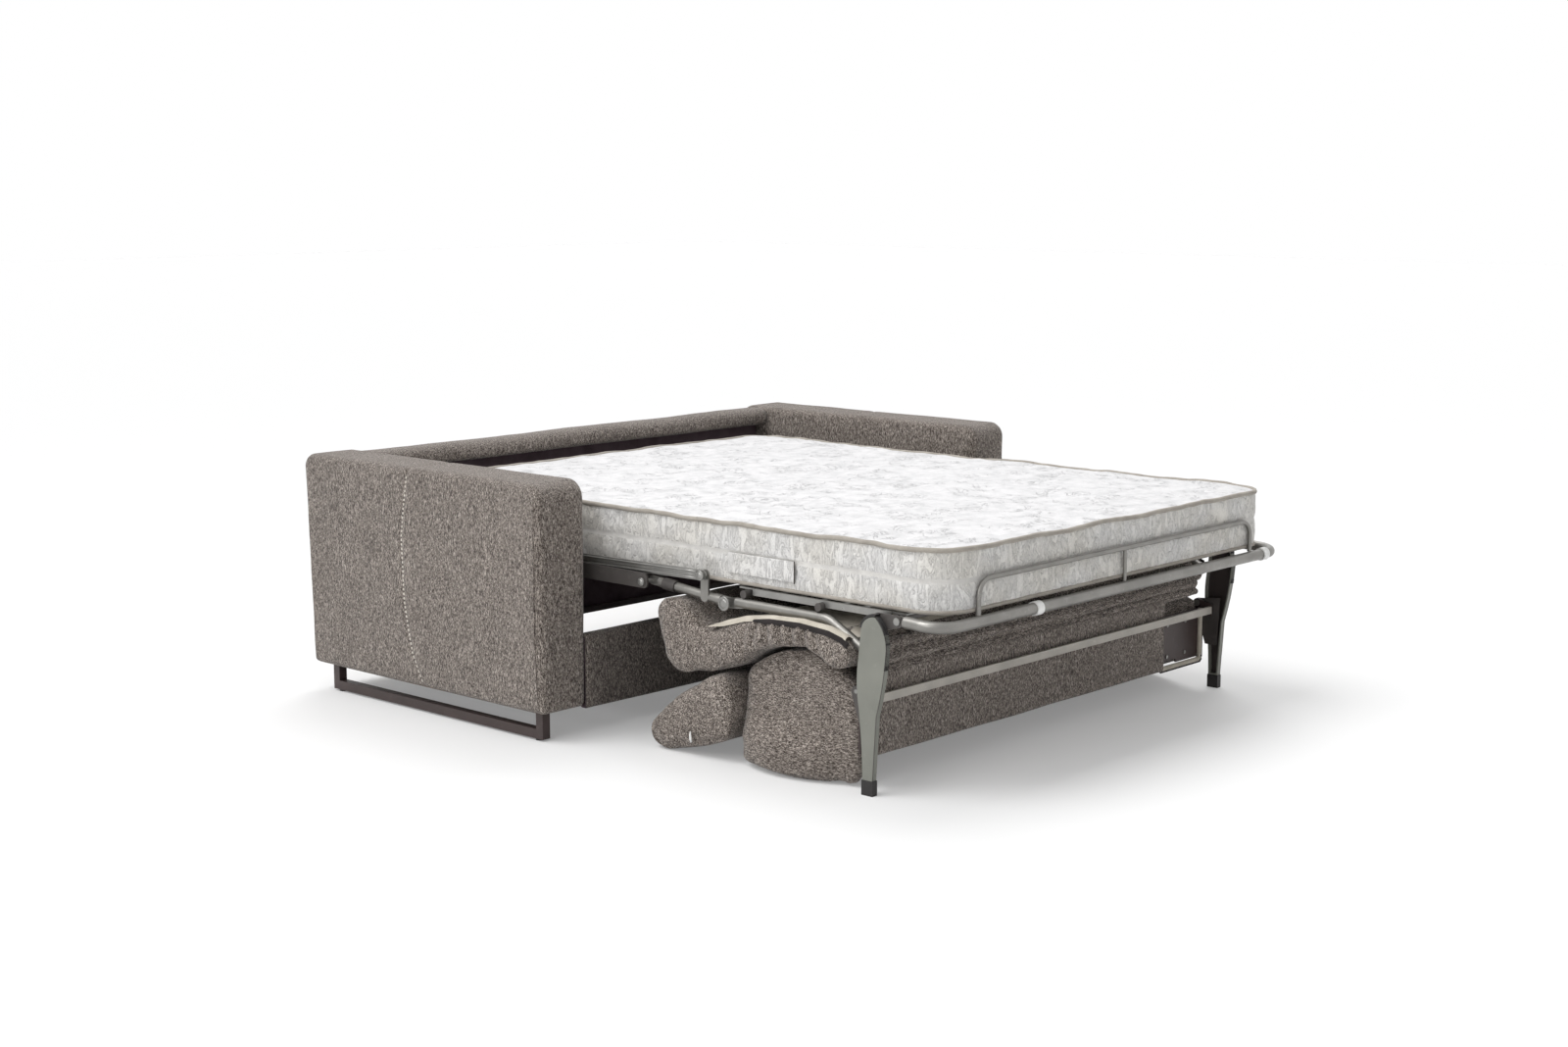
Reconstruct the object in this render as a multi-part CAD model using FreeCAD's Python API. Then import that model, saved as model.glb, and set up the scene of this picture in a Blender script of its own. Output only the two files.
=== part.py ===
# Sleeper sofa with a pull out bed, shown with the bed open.
# Millimetres, +Z up, +X across the sofa, the bed opens towards -Y.
# While the pieces are made, y = 0 is the front plane of the arms. The last step moves
# every piece along Y so that the origin is the centre of the footprint, on the floor.
import math
import os

import FreeCAD
import Part

# Sofa body
sofa_width = 1920.0
sofa_depth = 955.0
arm_thickness = 160.0
arm_height = 660.0
body_lift = 75.0
arm_padding = 22.0
board = 18.0
front_top_round = 46.0
rear_top_round = 60.0
arm_edge_round = 20.0
back_top = 654.0
back_roll_depth = 105.0
back_roll_height = 48.0
back_skin = 18.0
back_bottom = 80.0
lining_recess = 49.5
lining = 6.0
rail_top = 262.0
rail_bottom = 68.0
rail_depth = 32.0
rail_front = 2.0
tie_depth = 9.0
tie_height = 18.0
fit_gap = 0.5

# Sled legs
sled_inset = 31.0
sled_bar = 25.0
sled_pad_height = 5.0
sled_strip = 4.0
sled_front = 31.0
sled_rear = 898.0

# Clearances between the arms and the bed, each from the inner side of an arm
mattress_side_gap = 100.0
side_tube_gap = 73.0
bracket_gap = 64.5
leg_gap = 59.0
link_gap = 58.0
rocker_gap = 51.6
carriage_gap = 42.0
swing_gap = 32.0
base_rail_gap = 11.0
foot_tube_gap = 65.0
loop_gap = 207.0
headrest_gap = 25.0
seat_cushion_gap = 35.0
back_cushion_gap = 78.0
end_plate_reach = 260.0
panel_left_gap = 100.0
panel_right_gap = 280.0

# Mattress
mattress_thickness = 153.0
bed_head_gap = 93.5
head_overhang = 106.0
mattress_foot_end = -1073.0
mattress_round = 95.0
mattress_edge = 16.0
core_thickness = 75.0
head_core_thickness = 40.0
bed_level = 432.0
segment_gap = 1.0

# Pivots of the folding frame, seen from the side as (y, z)
travel_back = 227.0
travel_down = 320.0
fold_pivot = (-165.0, 414.0)
seat_pivot = (-430.0, 390.0)
head_pivot = (585.0, 414.0)
foot_pivot = (-967.0, 417.0)
riser_pivot = (-357.0, 451.0)
link_rear_pivot = (90.0, 443.0)
backrest_pivot = (-845.0, 236.0)
headrest_pivot = (-478.0, 214.0)
front_swing_y = 90.0
rear_swing_y = 420.0
swing_bow = 100.0

# Steel sections
tube_r = 12.0
tube_wall = 1.6
cross_r = 10.0
foot_tube_r = 14.0
loop_r = 6.0
pin_r = 5.0
running_gap = 0.05
pin_head_r = 9.0
pin_head = 3.0
link_width = 26.0
plate = 6.0
mesh_thickness = 4.0
mesh_bar = 5.0
leg_thickness = 16.0
leg_web = 3.0
leg_rim = 4.0
leg_foot_rear = -880.0
leg_foot_front = -909.0
cap_lip = 2.0
bracket = 5.0

# Foot end
foot_tube_y = -1090.0
foot_tube_z = 412.0
foot_bend = 62.0
loop_y = -1085.0
loop_top = 508.0
loop_bend = 42.0
clip_places = (-388.0, 640.0)
clip_length = 24.0
clip_wall = 3.0
cap_height = 36.0

# Backrest and cushions
panel_bottom = 78.0
panel_top = 278.0
panel_y = -858.0
panel_depth = 18.0
crossbar_y = -889.0
crossbar_z = 221.0
crossbar_height = 20.0
crossbar_depth = 8.0
cushion_split = 4.0
plate_bottom_inset = 8.0
plate_top_inset = 56.0
screw_rows = (30.0, 118.0)
tuck_inset = 50.0
tuck_front = (-870.0, 86.0)
tuck_rear = (-649.0, -5.0)

half_width = sofa_width / 2
inner_half = half_width - arm_thickness
mattress_width = 2 * (inner_half - mattress_side_gap)
mattress_head_end = sofa_depth - lining_recess - lining - bed_head_gap
side_tube_x = inner_half - side_tube_gap
bracket_x = inner_half - bracket_gap
leg_x = inner_half - leg_gap
link_x = inner_half - link_gap
rocker_x = inner_half - rocker_gap
carriage_x = inner_half - carriage_gap
swing_x = inner_half - swing_gap
base_rail_x = inner_half - base_rail_gap
foot_tube_half = inner_half - foot_tube_gap
loop_half = inner_half - loop_gap
headrest_half = inner_half - headrest_gap
seat_cushion_half = inner_half - seat_cushion_gap
back_cushion_half = inner_half - back_cushion_gap
end_plate_inner = inner_half - end_plate_reach
panel_left = panel_left_gap - inner_half
panel_right = inner_half - panel_right_gap
front_reach = -foot_tube_y + foot_tube_r + clip_wall
y_shift = (front_reach - sofa_depth) / 2

shapes = {}
cushion_groove = []


def vec(x, y, z):
    return FreeCAD.Vector(x, y, z)


def box(x0, x1, y0, y1, z0, z1):
    return Part.makeBox(x1 - x0, y1 - y0, z1 - z0, vec(x0, y0, z0))


def rod(start, end, radius):
    """Round bar between two points."""
    a = vec(*start)
    b = vec(*end)
    return Part.makeCylinder(radius, a.distanceToPoint(b), a, b - a)


def cross_rod(place, radius, x0, x1):
    """Round bar along X at a (y, z) place."""
    return rod((x0, place[0], place[1]), (x1, place[0], place[1]), radius)


def chain(x, start, *steps):
    """Closed outline in the plane at x. A step is an end point, or (middle, end) of an arc."""
    edges = []
    here = start
    for step in steps + (start,):
        if isinstance(step[0], tuple):
            middle, end = step
            arc = Part.Arc(vec(x, *here), vec(x, *middle), vec(x, *end))
            edges.append(arc.toShape())
        else:
            end = step
            if math.dist(here, end) > 1e-6:
                edges.append(Part.LineSegment(vec(x, *here), vec(x, *end)).toShape())
        here = end
    return Part.Wire(edges)


def profile(x0, x1, start, *steps):
    """Solid with one outline, from x0 to x1."""
    face = Part.Face(chain(x0, start, *steps))
    return face.extrude(vec(x1 - x0, 0, 0))


def bar(x0, x1, a, b, width):
    """Flat bar with round ends between the pivots a and b."""
    length = math.dist(a, b)
    u = ((b[0] - a[0]) / length, (b[1] - a[1]) / length)
    n = (-u[1] * width / 2, u[0] * width / 2)
    h = width / 2
    return profile(
        x0, x1,
        (a[0] + n[0], a[1] + n[1]),
        ((a[0] - u[0] * h, a[1] - u[1] * h), (a[0] - n[0], a[1] - n[1])),
        (b[0] - n[0], b[1] - n[1]),
        ((b[0] + u[0] * h, b[1] + u[1] * h), (b[0] + n[0], b[1] + n[1])),
    )


def bored(solid, *places):
    """Cut the pin holes with their running clearance."""
    for place in places:
        solid = solid.cut(cross_rod(place, pin_r + running_gap, -half_width, half_width))
    return solid


def stub(place, x0, x1):
    """Rivet along X that is flush at x0 and has its head beyond x1."""
    shank = cross_rod(place, pin_r, x0, x1)
    return shank.fuse(cross_rod(place, pin_head_r, x1, x1 + pin_head))


def pin(place, x0, x1):
    """Rivet along X, its shank from x0 to x1 and a head at each end."""
    return stub(place, x0, x1).fuse(cross_rod(place, pin_head_r, x0 - pin_head, x0))


def bent_path(points, bend):
    """Wire through the points with a tangent arc at each inner point."""
    edges = []
    here = vec(*points[0])
    for before, corner, after in zip(points, points[1:], points[2:]):
        c = vec(*corner)
        u = (vec(*before) - c).normalize()
        w = (vec(*after) - c).normalize()
        half = u.getAngle(w) / 2
        setback = bend / math.tan(half)
        a = c + u * setback
        b = c + w * setback
        middle = (u + w).normalize() * (bend / math.sin(half) - bend) + c
        edges.append(Part.LineSegment(here, a).toShape())
        edges.append(Part.Arc(a, middle, b).toShape())
        here = b
    edges.append(Part.LineSegment(here, vec(*points[-1])).toShape())
    return Part.Wire(edges)


def bent_rod(points, bend, radius):
    path = bent_path(points, bend)
    start = vec(*points[0])
    ring = Part.Wire([Part.makeCircle(radius, start, vec(*points[1]) - start)])
    return path.makePipeShell([ring], True, False)


def bent_tube(points, bend, radius, wall):
    outer = bent_rod(points, bend, radius)
    return outer.cut(bent_rod(points, bend, radius - wall))


def mirrored(solid):
    return solid.mirror(vec(0, 0, 0), vec(1, 0, 0))


def add(name, solid):
    shapes[name] = solid


def add_sides(name, solid):
    """The solid is the left one, at -X. The right one is its mirror image."""
    add(name + "_left", solid)
    add(name + "_right", mirrored(solid))


def add_both(name, *solids):
    """One node that holds the solids of the left side and their mirror images."""
    add(name, Part.makeCompound(list(solids) + [mirrored(s) for s in solids]))


def pillow(start, steps, stations, pivot):
    """Cushion: one outline lofted along X, drawn in at each station by its own share."""
    wires = []
    for x, share in stations:
        wire = chain(0, start, *steps)
        wire.scale(share, vec(0, *pivot))
        wire.translate(vec(x, 0, 0))
        wires.append(wire)
    return Part.makeLoft(wires, True, False)


def cushion_stations(outer, inner, crown):
    """Stations of one cushion between its two end planes, ends drawn in and middle crowned."""
    width = inner - outer
    return [
        (outer, 0.90),
        (outer + width * 0.03, 0.965),
        (outer + width * 0.16, 1.0 - crown * 0.4),
        (outer + width * 0.5, 1.0),
        (outer + width * 0.84, 1.0 - crown * 0.4),
        (outer + width * 0.97, 0.965),
        (inner, 0.90),
    ]


# Arms: fabric cover with padding over a wooden frame
def arm_block(inset, open_bottom):
    """Side outline of an arm, drawn in by an inset on all sides but the bottom."""
    front = inset
    rear = sofa_depth - inset
    top = arm_height - inset
    bottom = body_lift - (1.0 if open_bottom else 0.0)
    rf = front_top_round - inset
    rr = rear_top_round - inset
    k = 1 - math.sqrt(0.5)
    x0 = -half_width + inset
    x1 = -inner_half - inset
    return profile(
        x0, x1,
        (front, bottom),
        (front, top - rf),
        ((front + k * rf, top - k * rf), (front + rf, top)),
        (rear - rr, top),
        ((rear - k * rr, top - k * rr), (rear, top - rr)),
        (rear, bottom),
    )


def make_arms():
    outer = arm_block(0, False)
    edges = [
        e for e in outer.Edges
        if e.BoundBox.XLength < 0.01 and e.BoundBox.ZMax > body_lift + 1
    ]
    cover = outer.makeFillet(arm_edge_round, edges)
    cover = cover.cut(arm_block(arm_padding, True))
    add_sides("arm_cover", cover)
    skin = arm_padding + fit_gap
    frame = arm_block(skin, False)
    frame = frame.cut(box(
        -half_width + skin + board, -inner_half - skin - board,
        skin + board, sofa_depth - skin - board,
        body_lift - 1, arm_height - skin - board,
    ))
    add_both("arm_frames", frame)


# Back: board with ribs, lining on its inner face, padded cover with the top roll
def make_back():
    width = inner_half - fit_gap
    rear = sofa_depth
    roll_front = rear - back_roll_depth
    roll_low = back_top - back_roll_height
    skin = rear - back_skin
    cover = profile(
        -width, width,
        (rear, back_bottom),
        (rear, back_top - 39),
        ((rear - 11, back_top - 11), (rear - 39, back_top)),
        (roll_front + 30, back_top),
        ((roll_front + 7, back_top - 9), (roll_front, back_top - 29)),
        ((roll_front + 6, roll_low + 5), (roll_front + 22, roll_low)),
        (skin, roll_low),
        (skin, back_bottom),
    )
    add("back_cover", cover)
    lining_front = rear - lining_recess - lining
    panel = box(-width, width, lining_front, lining_front + lining - 1, back_bottom + 8, roll_low - fit_gap)
    add("back_lining", panel)
    rib_front = lining_front + lining - 1 + fit_gap
    frame_rear = skin - fit_gap
    frame = box(-width, width, frame_rear - 12, frame_rear, back_bottom, roll_low - fit_gap)
    ribs = []
    for x in (-width, -width / 2, -20, width / 2 - 40, width - 40):
        ribs.append(box(x, x + 40, rib_front, frame_rear - 12, back_bottom, roll_low - fit_gap))
    add("back_frame", frame.fuse(ribs))


# Front rail between the arms, a board in a padded cover
def make_front_rail():
    width = inner_half - fit_gap
    wall = 8.0
    front = rail_front
    outer = profile(
        -width, width,
        (front, rail_bottom),
        (front, rail_top - 10),
        ((front + 3, rail_top - 3), (front + 10, rail_top)),
        (front + rail_depth - 10, rail_top),
        ((front + rail_depth - 3, rail_top - 3), (front + rail_depth, rail_top - 10)),
        (front + rail_depth, rail_bottom),
    )
    pocket = box(
        -width - 1, width + 1,
        front + wall, front + rail_depth - wall,
        rail_bottom - 1, rail_top - wall,
    )
    add("front_rail_cover", outer.cut(pocket))
    rail_board = box(
        -width, width,
        front + wall + fit_gap, front + rail_depth - wall - fit_gap,
        rail_bottom, rail_top - wall - fit_gap,
    )
    add("front_rail_board", rail_board)


# Sled legs: a runner with two posts and a top strip under each arm
def make_sled_legs():
    x0 = -half_width + sled_inset
    x1 = x0 + sled_bar
    low = sled_pad_height
    top = body_lift
    runner_top = low + sled_bar
    strip_low = top - sled_strip
    post_front = sled_front + sled_bar
    post_rear = sled_rear - sled_bar
    bars = [
        box(x0, x1, sled_front, sled_rear, low, runner_top),
        box(x0, x1, sled_front, post_front, runner_top, strip_low),
        box(x0, x1, post_rear, sled_rear, runner_top, strip_low),
        box(x0, x1, sled_front, sled_rear, strip_low, top),
    ]
    add_sides("sled_leg", Part.makeCompound(bars))
    pads = []
    for y in (sled_front + sled_bar, sled_rear - sled_bar):
        pads.append(rod(((x0 + x1) / 2, y, 0), ((x0 + x1) / 2, y, low), sled_bar * 0.42))
    add_both("sled_pads", *pads)


# Base of the mechanism, bolted inside the arms
def swing_base(y):
    """Lower pivot of a swing arm whose upper pivot is at (y, fold pivot height)."""
    run = math.hypot(travel_back, travel_down)
    away = (travel_down / run, travel_back / run)
    return (
        y + travel_back / 2 - swing_bow * away[0],
        fold_pivot[1] - travel_down / 2 - swing_bow * away[1],
    )


def make_base():
    front = swing_base(front_swing_y)
    rear = swing_base(rear_swing_y)
    wall = inner_half - fit_gap
    rail = box(-wall, -base_rail_x, front[0] - 60, rear[0] + 300, front[1] - 26, front[1] + 26)
    bosses = [cross_rod(p, 15, -base_rail_x, -swing_x - plate - fit_gap) for p in (front, rear)]
    add_both("base_rails", bored(rail.fuse(bosses), front, rear))
    add_both("base_pins", *[stub(p, -wall, -swing_x + 0.3) for p in (front, rear)])
    rail_rear = rail_front + rail_depth + fit_gap
    lining_face = sofa_depth - lining_recess - lining - fit_gap
    ties = []
    for y in (rail_rear, lining_face - tie_depth):
        ties.append(box(-wall, wall, y, y + tie_depth, back_bottom, back_bottom + tie_height))
    add("base_cross_ties", Part.makeCompound(ties))


# Swing arms carry the bed from the front of the sofa back into it
def make_swing_arms():
    for name, y in (("swing_arms_front", front_swing_y), ("swing_arms_rear", rear_swing_y)):
        top = (y, fold_pivot[1])
        low = swing_base(y)
        arm = bar(-swing_x - plate, -swing_x, low, top, 34)
        add_both(name, bored(arm, low, top))


# Carriage: the middle bed section that the swing arms carry
def mesh_panel(half, y0, y1, columns, rows):
    """Welded mesh panel under the mattress."""
    low = bed_level - 1 - mesh_thickness
    panel = box(-half, half, y0, y1, low, low + mesh_thickness)
    step_x = (2 * half - mesh_bar) / columns
    step_y = (y1 - y0 - mesh_bar) / rows
    holes = []
    for i in range(columns):
        for j in range(rows):
            x = -half + mesh_bar + i * step_x
            y = y0 + mesh_bar + j * step_y
            holes.append(box(x, x + step_x - mesh_bar, y, y + step_y - mesh_bar, low - 1, bed_level))
    return panel.cut(holes)


mesh_half = mattress_width / 2 + 12
cross_z = bed_level - 1 - mesh_thickness - fit_gap - cross_r


def make_carriage():
    a = fold_pivot
    h = head_pivot
    rocker = rocker_base()
    front = (front_swing_y, a[1])
    rear = (rear_swing_y, a[1])
    rail = profile(
        -carriage_x - plate, -carriage_x,
        (a[0] - 16, a[1] - 6),
        ((a[0] - 12, a[1] - 13), (a[0] - 4, a[1] - 16)),
        (h[0], a[1] - 16),
        ((h[0] + 12, a[1] - 12), (h[0] + 16, a[1])),
        (h[0] + 16, a[1] + 14),
        (h[0], a[1] + 26),
        (a[0], a[1] + 22),
        ((a[0] - 11, a[1] + 17), (a[0] - 16, a[1] + 6)),
    )
    add_both("carriage_rails", bored(rail, a, h, rocker, front, rear))
    tubes = []
    for y in (a[0] + 40, h[0] - 84):
        tubes.append(cross_rod((y, cross_z), cross_r, -carriage_x, carriage_x))
    add("carriage_cross_tubes", Part.makeCompound(tubes))
    add("mesh_middle", mesh_panel(mesh_half, a[0] + 15, h[0] - 22, 18, 8))
    add_both(
        "carriage_pins",
        pin(front, -swing_x - plate - 0.3, -carriage_x + 0.3),
        pin(rear, -swing_x - plate - 0.3, -carriage_x + 0.3),
        pin(a, -carriage_x - plate - 0.3, -side_tube_x + 5.3),
        pin(h, -carriage_x - plate - 0.3, -side_tube_x + 11.3),
        pin(rocker, -carriage_x - plate - 0.3, -rocker_x + 0.3),
    )


# Head section, lies flat behind the carriage and stands up when the bed is put away
def make_head():
    h = head_pivot
    y0 = h[0] + 12
    y1 = mattress_head_end - head_overhang - cross_r
    tube = bent_tube(
        [(-side_tube_x, y0 + 4, cross_z), (-side_tube_x, y1, cross_z),
         (side_tube_x, y1, cross_z), (side_tube_x, y0 + 4, cross_z)],
        50, cross_r, tube_wall,
    )
    lug = bar(-side_tube_x - plate / 2, -side_tube_x + plate / 2, h, (y0 + 22, cross_z), 22)
    lug = bored(lug, h)
    frame = tube.fuse([lug, mirrored(lug)])
    add("head_frame", frame)
    add("mesh_head", mesh_panel(mesh_half, y0 + 2, y1 + 8, 18, 1))


# Fold link: the short tubes between the carriage and the seat section
def make_fold_link():
    a = fold_pivot
    b = seat_pivot
    c = riser_pivot
    length = math.dist(a, b)
    u = ((b[0] - a[0]) / length, (b[1] - a[1]) / length)

    def along(distance):
        return (a[0] + u[0] * distance, a[1] + u[1] * distance)

    x = -side_tube_x
    start = along(26)
    end = along(length - 26)
    tube = rod((x, *start), (x, *end), tube_r)
    near = bar(x - plate / 2, x + plate / 2, a, along(44), 22)
    far = bar(x, x + plate - 1, along(length - 44), b, 26)
    foot = along(abs(c[0] - a[0]))
    riser = bar(x - tube_r, x - tube_r + plate, foot, c, link_width)
    link = bored(tube.fuse([near, far, riser]), a, b, c)
    add_sides("fold_tube", link)
    s0 = along(44)
    s1 = along(86)
    sleeve = rod((x, *s0), (x, *s1), tube_r + 3).cut(rod((x, *s0), (x, *s1), tube_r + 0.1))
    add_both("fold_sleeves", sleeve)
    add_both("riser_pins", pin(c, -link_x - plate - 0.3, x - tube_r + plate + 0.3))


def rocker_base():
    """Pivot of the rear rocker on the carriage: it moves as the fold link does."""
    return (
        link_rear_pivot[0] - (riser_pivot[0] - fold_pivot[0]),
        link_rear_pivot[1] - (riser_pivot[1] - fold_pivot[1]),
    )


def make_upper_link():
    link = bar(-link_x - plate, -link_x, riser_pivot, link_rear_pivot, link_width)
    add_both("upper_links", bored(link, riser_pivot, link_rear_pivot))
    base = rocker_base()
    rocker = bar(-rocker_x - plate, -rocker_x, base, link_rear_pivot, 24)
    add_both("rear_rockers", bored(rocker, base, link_rear_pivot))
    add_both("rocker_pins", pin(link_rear_pivot, -rocker_x - plate - 0.3, -link_x + 0.3))


# Seat section: carries the seat cushions, the bed legs and the backrest
def make_seat_section():
    b = seat_pivot
    x = -side_tube_x
    points = [
        (x, b[0] - 26, b[1] + 4),
        (x, -750.0, b[1] + 2),
        (x, -868.0, 330.0),
    ]
    tube = bent_tube(points, 70, tube_r, tube_wall)
    cushion_groove.append(bent_rod(points, 70, tube_r + fit_gap))
    lug = bar(x - plate, x - 1, b, (b[0] - 44, b[1] + 4), 26)
    add_sides("seat_side_tube", bored(tube.fuse(lug), b))
    tubes = []
    for y in (b[0] - 50, b[0] - 290, foot_pivot[0] + 25):
        tubes.append(cross_rod((y, cross_z), cross_r, -side_tube_x - 5, side_tube_x + 5))
    add("seat_cross_tubes", Part.makeCompound(tubes))
    y0 = foot_pivot[0] + 37
    y1 = b[0] - 66
    low = bed_level - 1 - mesh_thickness - fit_gap - 12
    wall = mesh_half + 1
    upright = box(-wall - 3, -wall, y0, y1, low, bed_level - 1)
    shelf = box(-wall, -wall + 12, y0, y1, low, low + 3)
    angle = upright.fuse(shelf)
    angle = angle.cut(cross_rod((b[0] - 290, cross_z), cross_r + fit_gap, -half_width, half_width))
    add_both("bed_side_angles", angle)
    add("mesh_seat", mesh_panel(mesh_half, foot_pivot[0] - 4, b[0] - 20, 18, 8))


# Bed legs, curved like a sabre, with a bracket that holds the backrest and the foot tube
def leg_outline(x0, x1):
    return profile(
        x0, x1,
        (leg_foot_rear, cap_height),
        ((-877, 113), (-868, 204)),
        ((-862, 262), (-866, 320)),
        (-874, 391),
        ((-890, 415), (-914, 422)),
        ((-936, 396), (-947, 345)),
        ((-937, 268), (-919, 190)),
        (leg_foot_front, cap_height),
    )


def make_bed_legs():
    x0 = -leg_x - leg_thickness
    solid = leg_outline(x0, -leg_x)
    edge = Part.Face(chain(
        x0,
        (leg_foot_rear - leg_rim, cap_height + leg_rim),
        ((-881, 113), (-872, 204)),
        ((-866, 262), (-870, 320)),
        (-878, 388),
        ((-892, 410), (-912, 417)),
        ((-932, 394), (-943, 345)),
        ((-933, 268), (-915, 190)),
        (leg_foot_front + leg_rim, cap_height + leg_rim),
    ))
    pocket = edge.extrude(vec(leg_thickness, 0, 0))
    pocket.translate(vec(leg_web, 0, 0))
    add_sides("bed_leg", solid.cut(pocket))
    cap = box(
        x0 - 1, -leg_x + 1, leg_foot_front - cap_lip, leg_foot_rear + cap_lip,
        0, cap_height - 0.2,
    )
    add_both("leg_caps", cap)
    seal = profile(
        x0 - 0.3, -leg_x + 0.3,
        (-875, 393),
        ((-891, 417), (-915, 424)),
        (-917, 429),
        ((-887, 421), (-870, 393)),
    )
    add_both("leg_seals", seal.cut(leg_outline(x0 - 1, -leg_x + 1)))
    q = backrest_pivot
    p = foot_pivot
    x1 = -bracket_x
    lower = profile(
        x1 - bracket, x1,
        (q[0] - 60, 122),
        (q[0] - 25, 122),
        (q[0] + 12, q[1] - 8),
        ((q[0] + 10, q[1] + 8), (q[0] - 4, q[1] + 13)),
        (q[0] - 68, q[1] + 20),
    )
    upper = profile(
        x1 - bracket, x1,
        (p[0] - 13, p[1] - 8),
        ((p[0] - 9, p[1] - 13), (p[0], p[1] - 15)),
        (p[0] + 90, p[1] - 42),
        (p[0] + 90, p[1] - 6),
        (p[0] + 60, p[1] + 13),
        (p[0], p[1] + 13),
        ((p[0] - 10, p[1] + 8), (p[0] - 13, p[1])),
    )
    add_both("leg_brackets", bored(lower, q), bored(upper, p))
    add_both(
        "seat_pins",
        pin(seat_pivot, -side_tube_x - plate - 0.3, -side_tube_x + plate - 0.7),
        stub(q, x1 - bracket, -back_cushion_half - 6.2),
        pin(p, x1 - bracket - 0.3, x1 + 6.8),
    )


# Foot loop: bent tube round the foot end, clips and the rod that keeps the mattress in place
def make_foot_loop():
    p = foot_pivot
    x = foot_tube_half
    start = p[0] - 20
    tube = bent_tube(
        [(-x, start, p[1]), (-x, foot_tube_y, foot_tube_z),
         (x, foot_tube_y, foot_tube_z), (x, start, p[1])],
        foot_bend, foot_tube_r, tube_wall,
    )
    lug = bar(-bracket_x + 1, -bracket_x + 6, p, (p[0] - 40, p[1] - 2), 24)
    lug = bored(lug, p)
    add("foot_tube", tube.fuse([lug, mirrored(lug)]))
    low = foot_tube_z + foot_tube_r - 0.5
    rod_path = [
        (-loop_half, loop_y, low), (-loop_half, loop_y, loop_top),
        (loop_half, loop_y, loop_top), (loop_half, loop_y, low),
    ]
    loop = bent_rod(rod_path, loop_bend, loop_r)
    post = rod((0, loop_y, low), (0, loop_y, loop_top), loop_r * 0.8)
    keeper = loop.fuse(post).cut(shapes["foot_tube"])
    add("retainer_loop", keeper)
    clips = []
    for place in clip_places:
        ring = rod(
            (place, foot_tube_y, foot_tube_z), (place + clip_length, foot_tube_y, foot_tube_z),
            foot_tube_r + clip_wall,
        )
        ring = ring.cut(rod(
            (place - 1, foot_tube_y, foot_tube_z), (place + clip_length + 1, foot_tube_y, foot_tube_z),
            foot_tube_r + 0.1,
        ))
        clips.append(ring)
    add("tube_clips", Part.makeCompound(clips))


# Backrest: end plates, crossbar and fabric panel, with the back cushions on it
def make_backrest():
    q = backrest_pivot
    face_y = panel_y + 6
    ear_x = back_cushion_half + 7
    ear = profile(
        -ear_x - 4, -ear_x,
        (crossbar_y - 4, crossbar_z - 16),
        (q[0] - 3, crossbar_z - 16),
        (q[0] + 12, q[1] - 6),
        ((q[0] + 9, q[1] + 9), (q[0] - 3, q[1] + 13)),
        (crossbar_y - 4, crossbar_z + 14),
    )
    plate_low = panel_bottom + plate_bottom_inset
    plate_high = panel_top - plate_top_inset
    flat = box(-ear_x - 4, -end_plate_inner, face_y, face_y + 4, plate_low, plate_high)
    notch = box(
        -end_plate_inner - 75, -end_plate_inner + 1, face_y - 1, face_y + 5,
        plate_low - 1, plate_low + 10,
    )
    end_plate = bored(ear.fuse(flat.cut(notch)), q)
    add_both("backrest_plates", end_plate)
    bar_low = crossbar_z - crossbar_height / 2
    crossbar = box(
        -ear_x + 0.2, ear_x - 0.2,
        crossbar_y - crossbar_depth / 2, crossbar_y + crossbar_depth / 2,
        bar_low, bar_low + crossbar_height,
    )
    add("crossbar", crossbar)
    panel = profile(
        panel_left, panel_right,
        (panel_y, panel_bottom + 8),
        (panel_y, panel_top - 8),
        ((panel_y - 3, panel_top - 2), (panel_y - 9, panel_top)),
        ((panel_y - 15, panel_top - 3), (panel_y - panel_depth, panel_top - 12)),
        (panel_y - panel_depth, panel_bottom + 14),
        ((panel_y - 14, panel_bottom + 3), (panel_y - 8, panel_bottom)),
    )
    add("backrest_panel", panel)
    screws = []
    for z in [panel_bottom + row for row in screw_rows]:
        for x in (-end_plate_inner - 28, -end_plate_inner - 118):
            screws.append(rod((x, face_y, z), (x, face_y - 2.5, z), 5))
    add_both("plate_screws", *screws)


def make_back_cushions():
    steps = [
        ((-482, 110), (-490, 196)),
        ((-493, 226), (-508, 246)),
        ((-590, 288), (-668, 303)),
        ((-722, 304), (-772, 272)),
        ((-812, 252), (-841, 242)),
        ((-846, 140), (-842, 46)),
        ((-830, 16), (-792, 10)),
        ((-650, 5), (-510, 10)),
    ]
    stations = cushion_stations(-back_cushion_half, -cushion_split / 2, 0.02)
    tuck = profile(
        -back_cushion_half + tuck_inset, 0,
        tuck_front, (tuck_front[0], tuck_rear[1]), tuck_rear,
    )
    add_sides("back_cushion", pillow((-492, 16), steps, stations, (-668, 150)).cut(tuck))


def make_headrests():
    steps = [
        ((-398, 206), (-352, 178)),
        ((-270, 128), (-206, 72)),
        ((-197, 46), (-222, 10)),
        ((-246, 4), (-276, 8)),
        ((-370, 30), (-460, 62)),
        ((-471, 78), (-473, 108)),
        ((-474, 160), (-469, 196)),
        ((-458, 216), (-434, 217)),
    ]
    stations = cushion_stations(-headrest_half, -cushion_split / 2, 0.02)
    add_sides("headrest", pillow((-430, 217), steps, stations, (-350, 110)))


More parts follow.
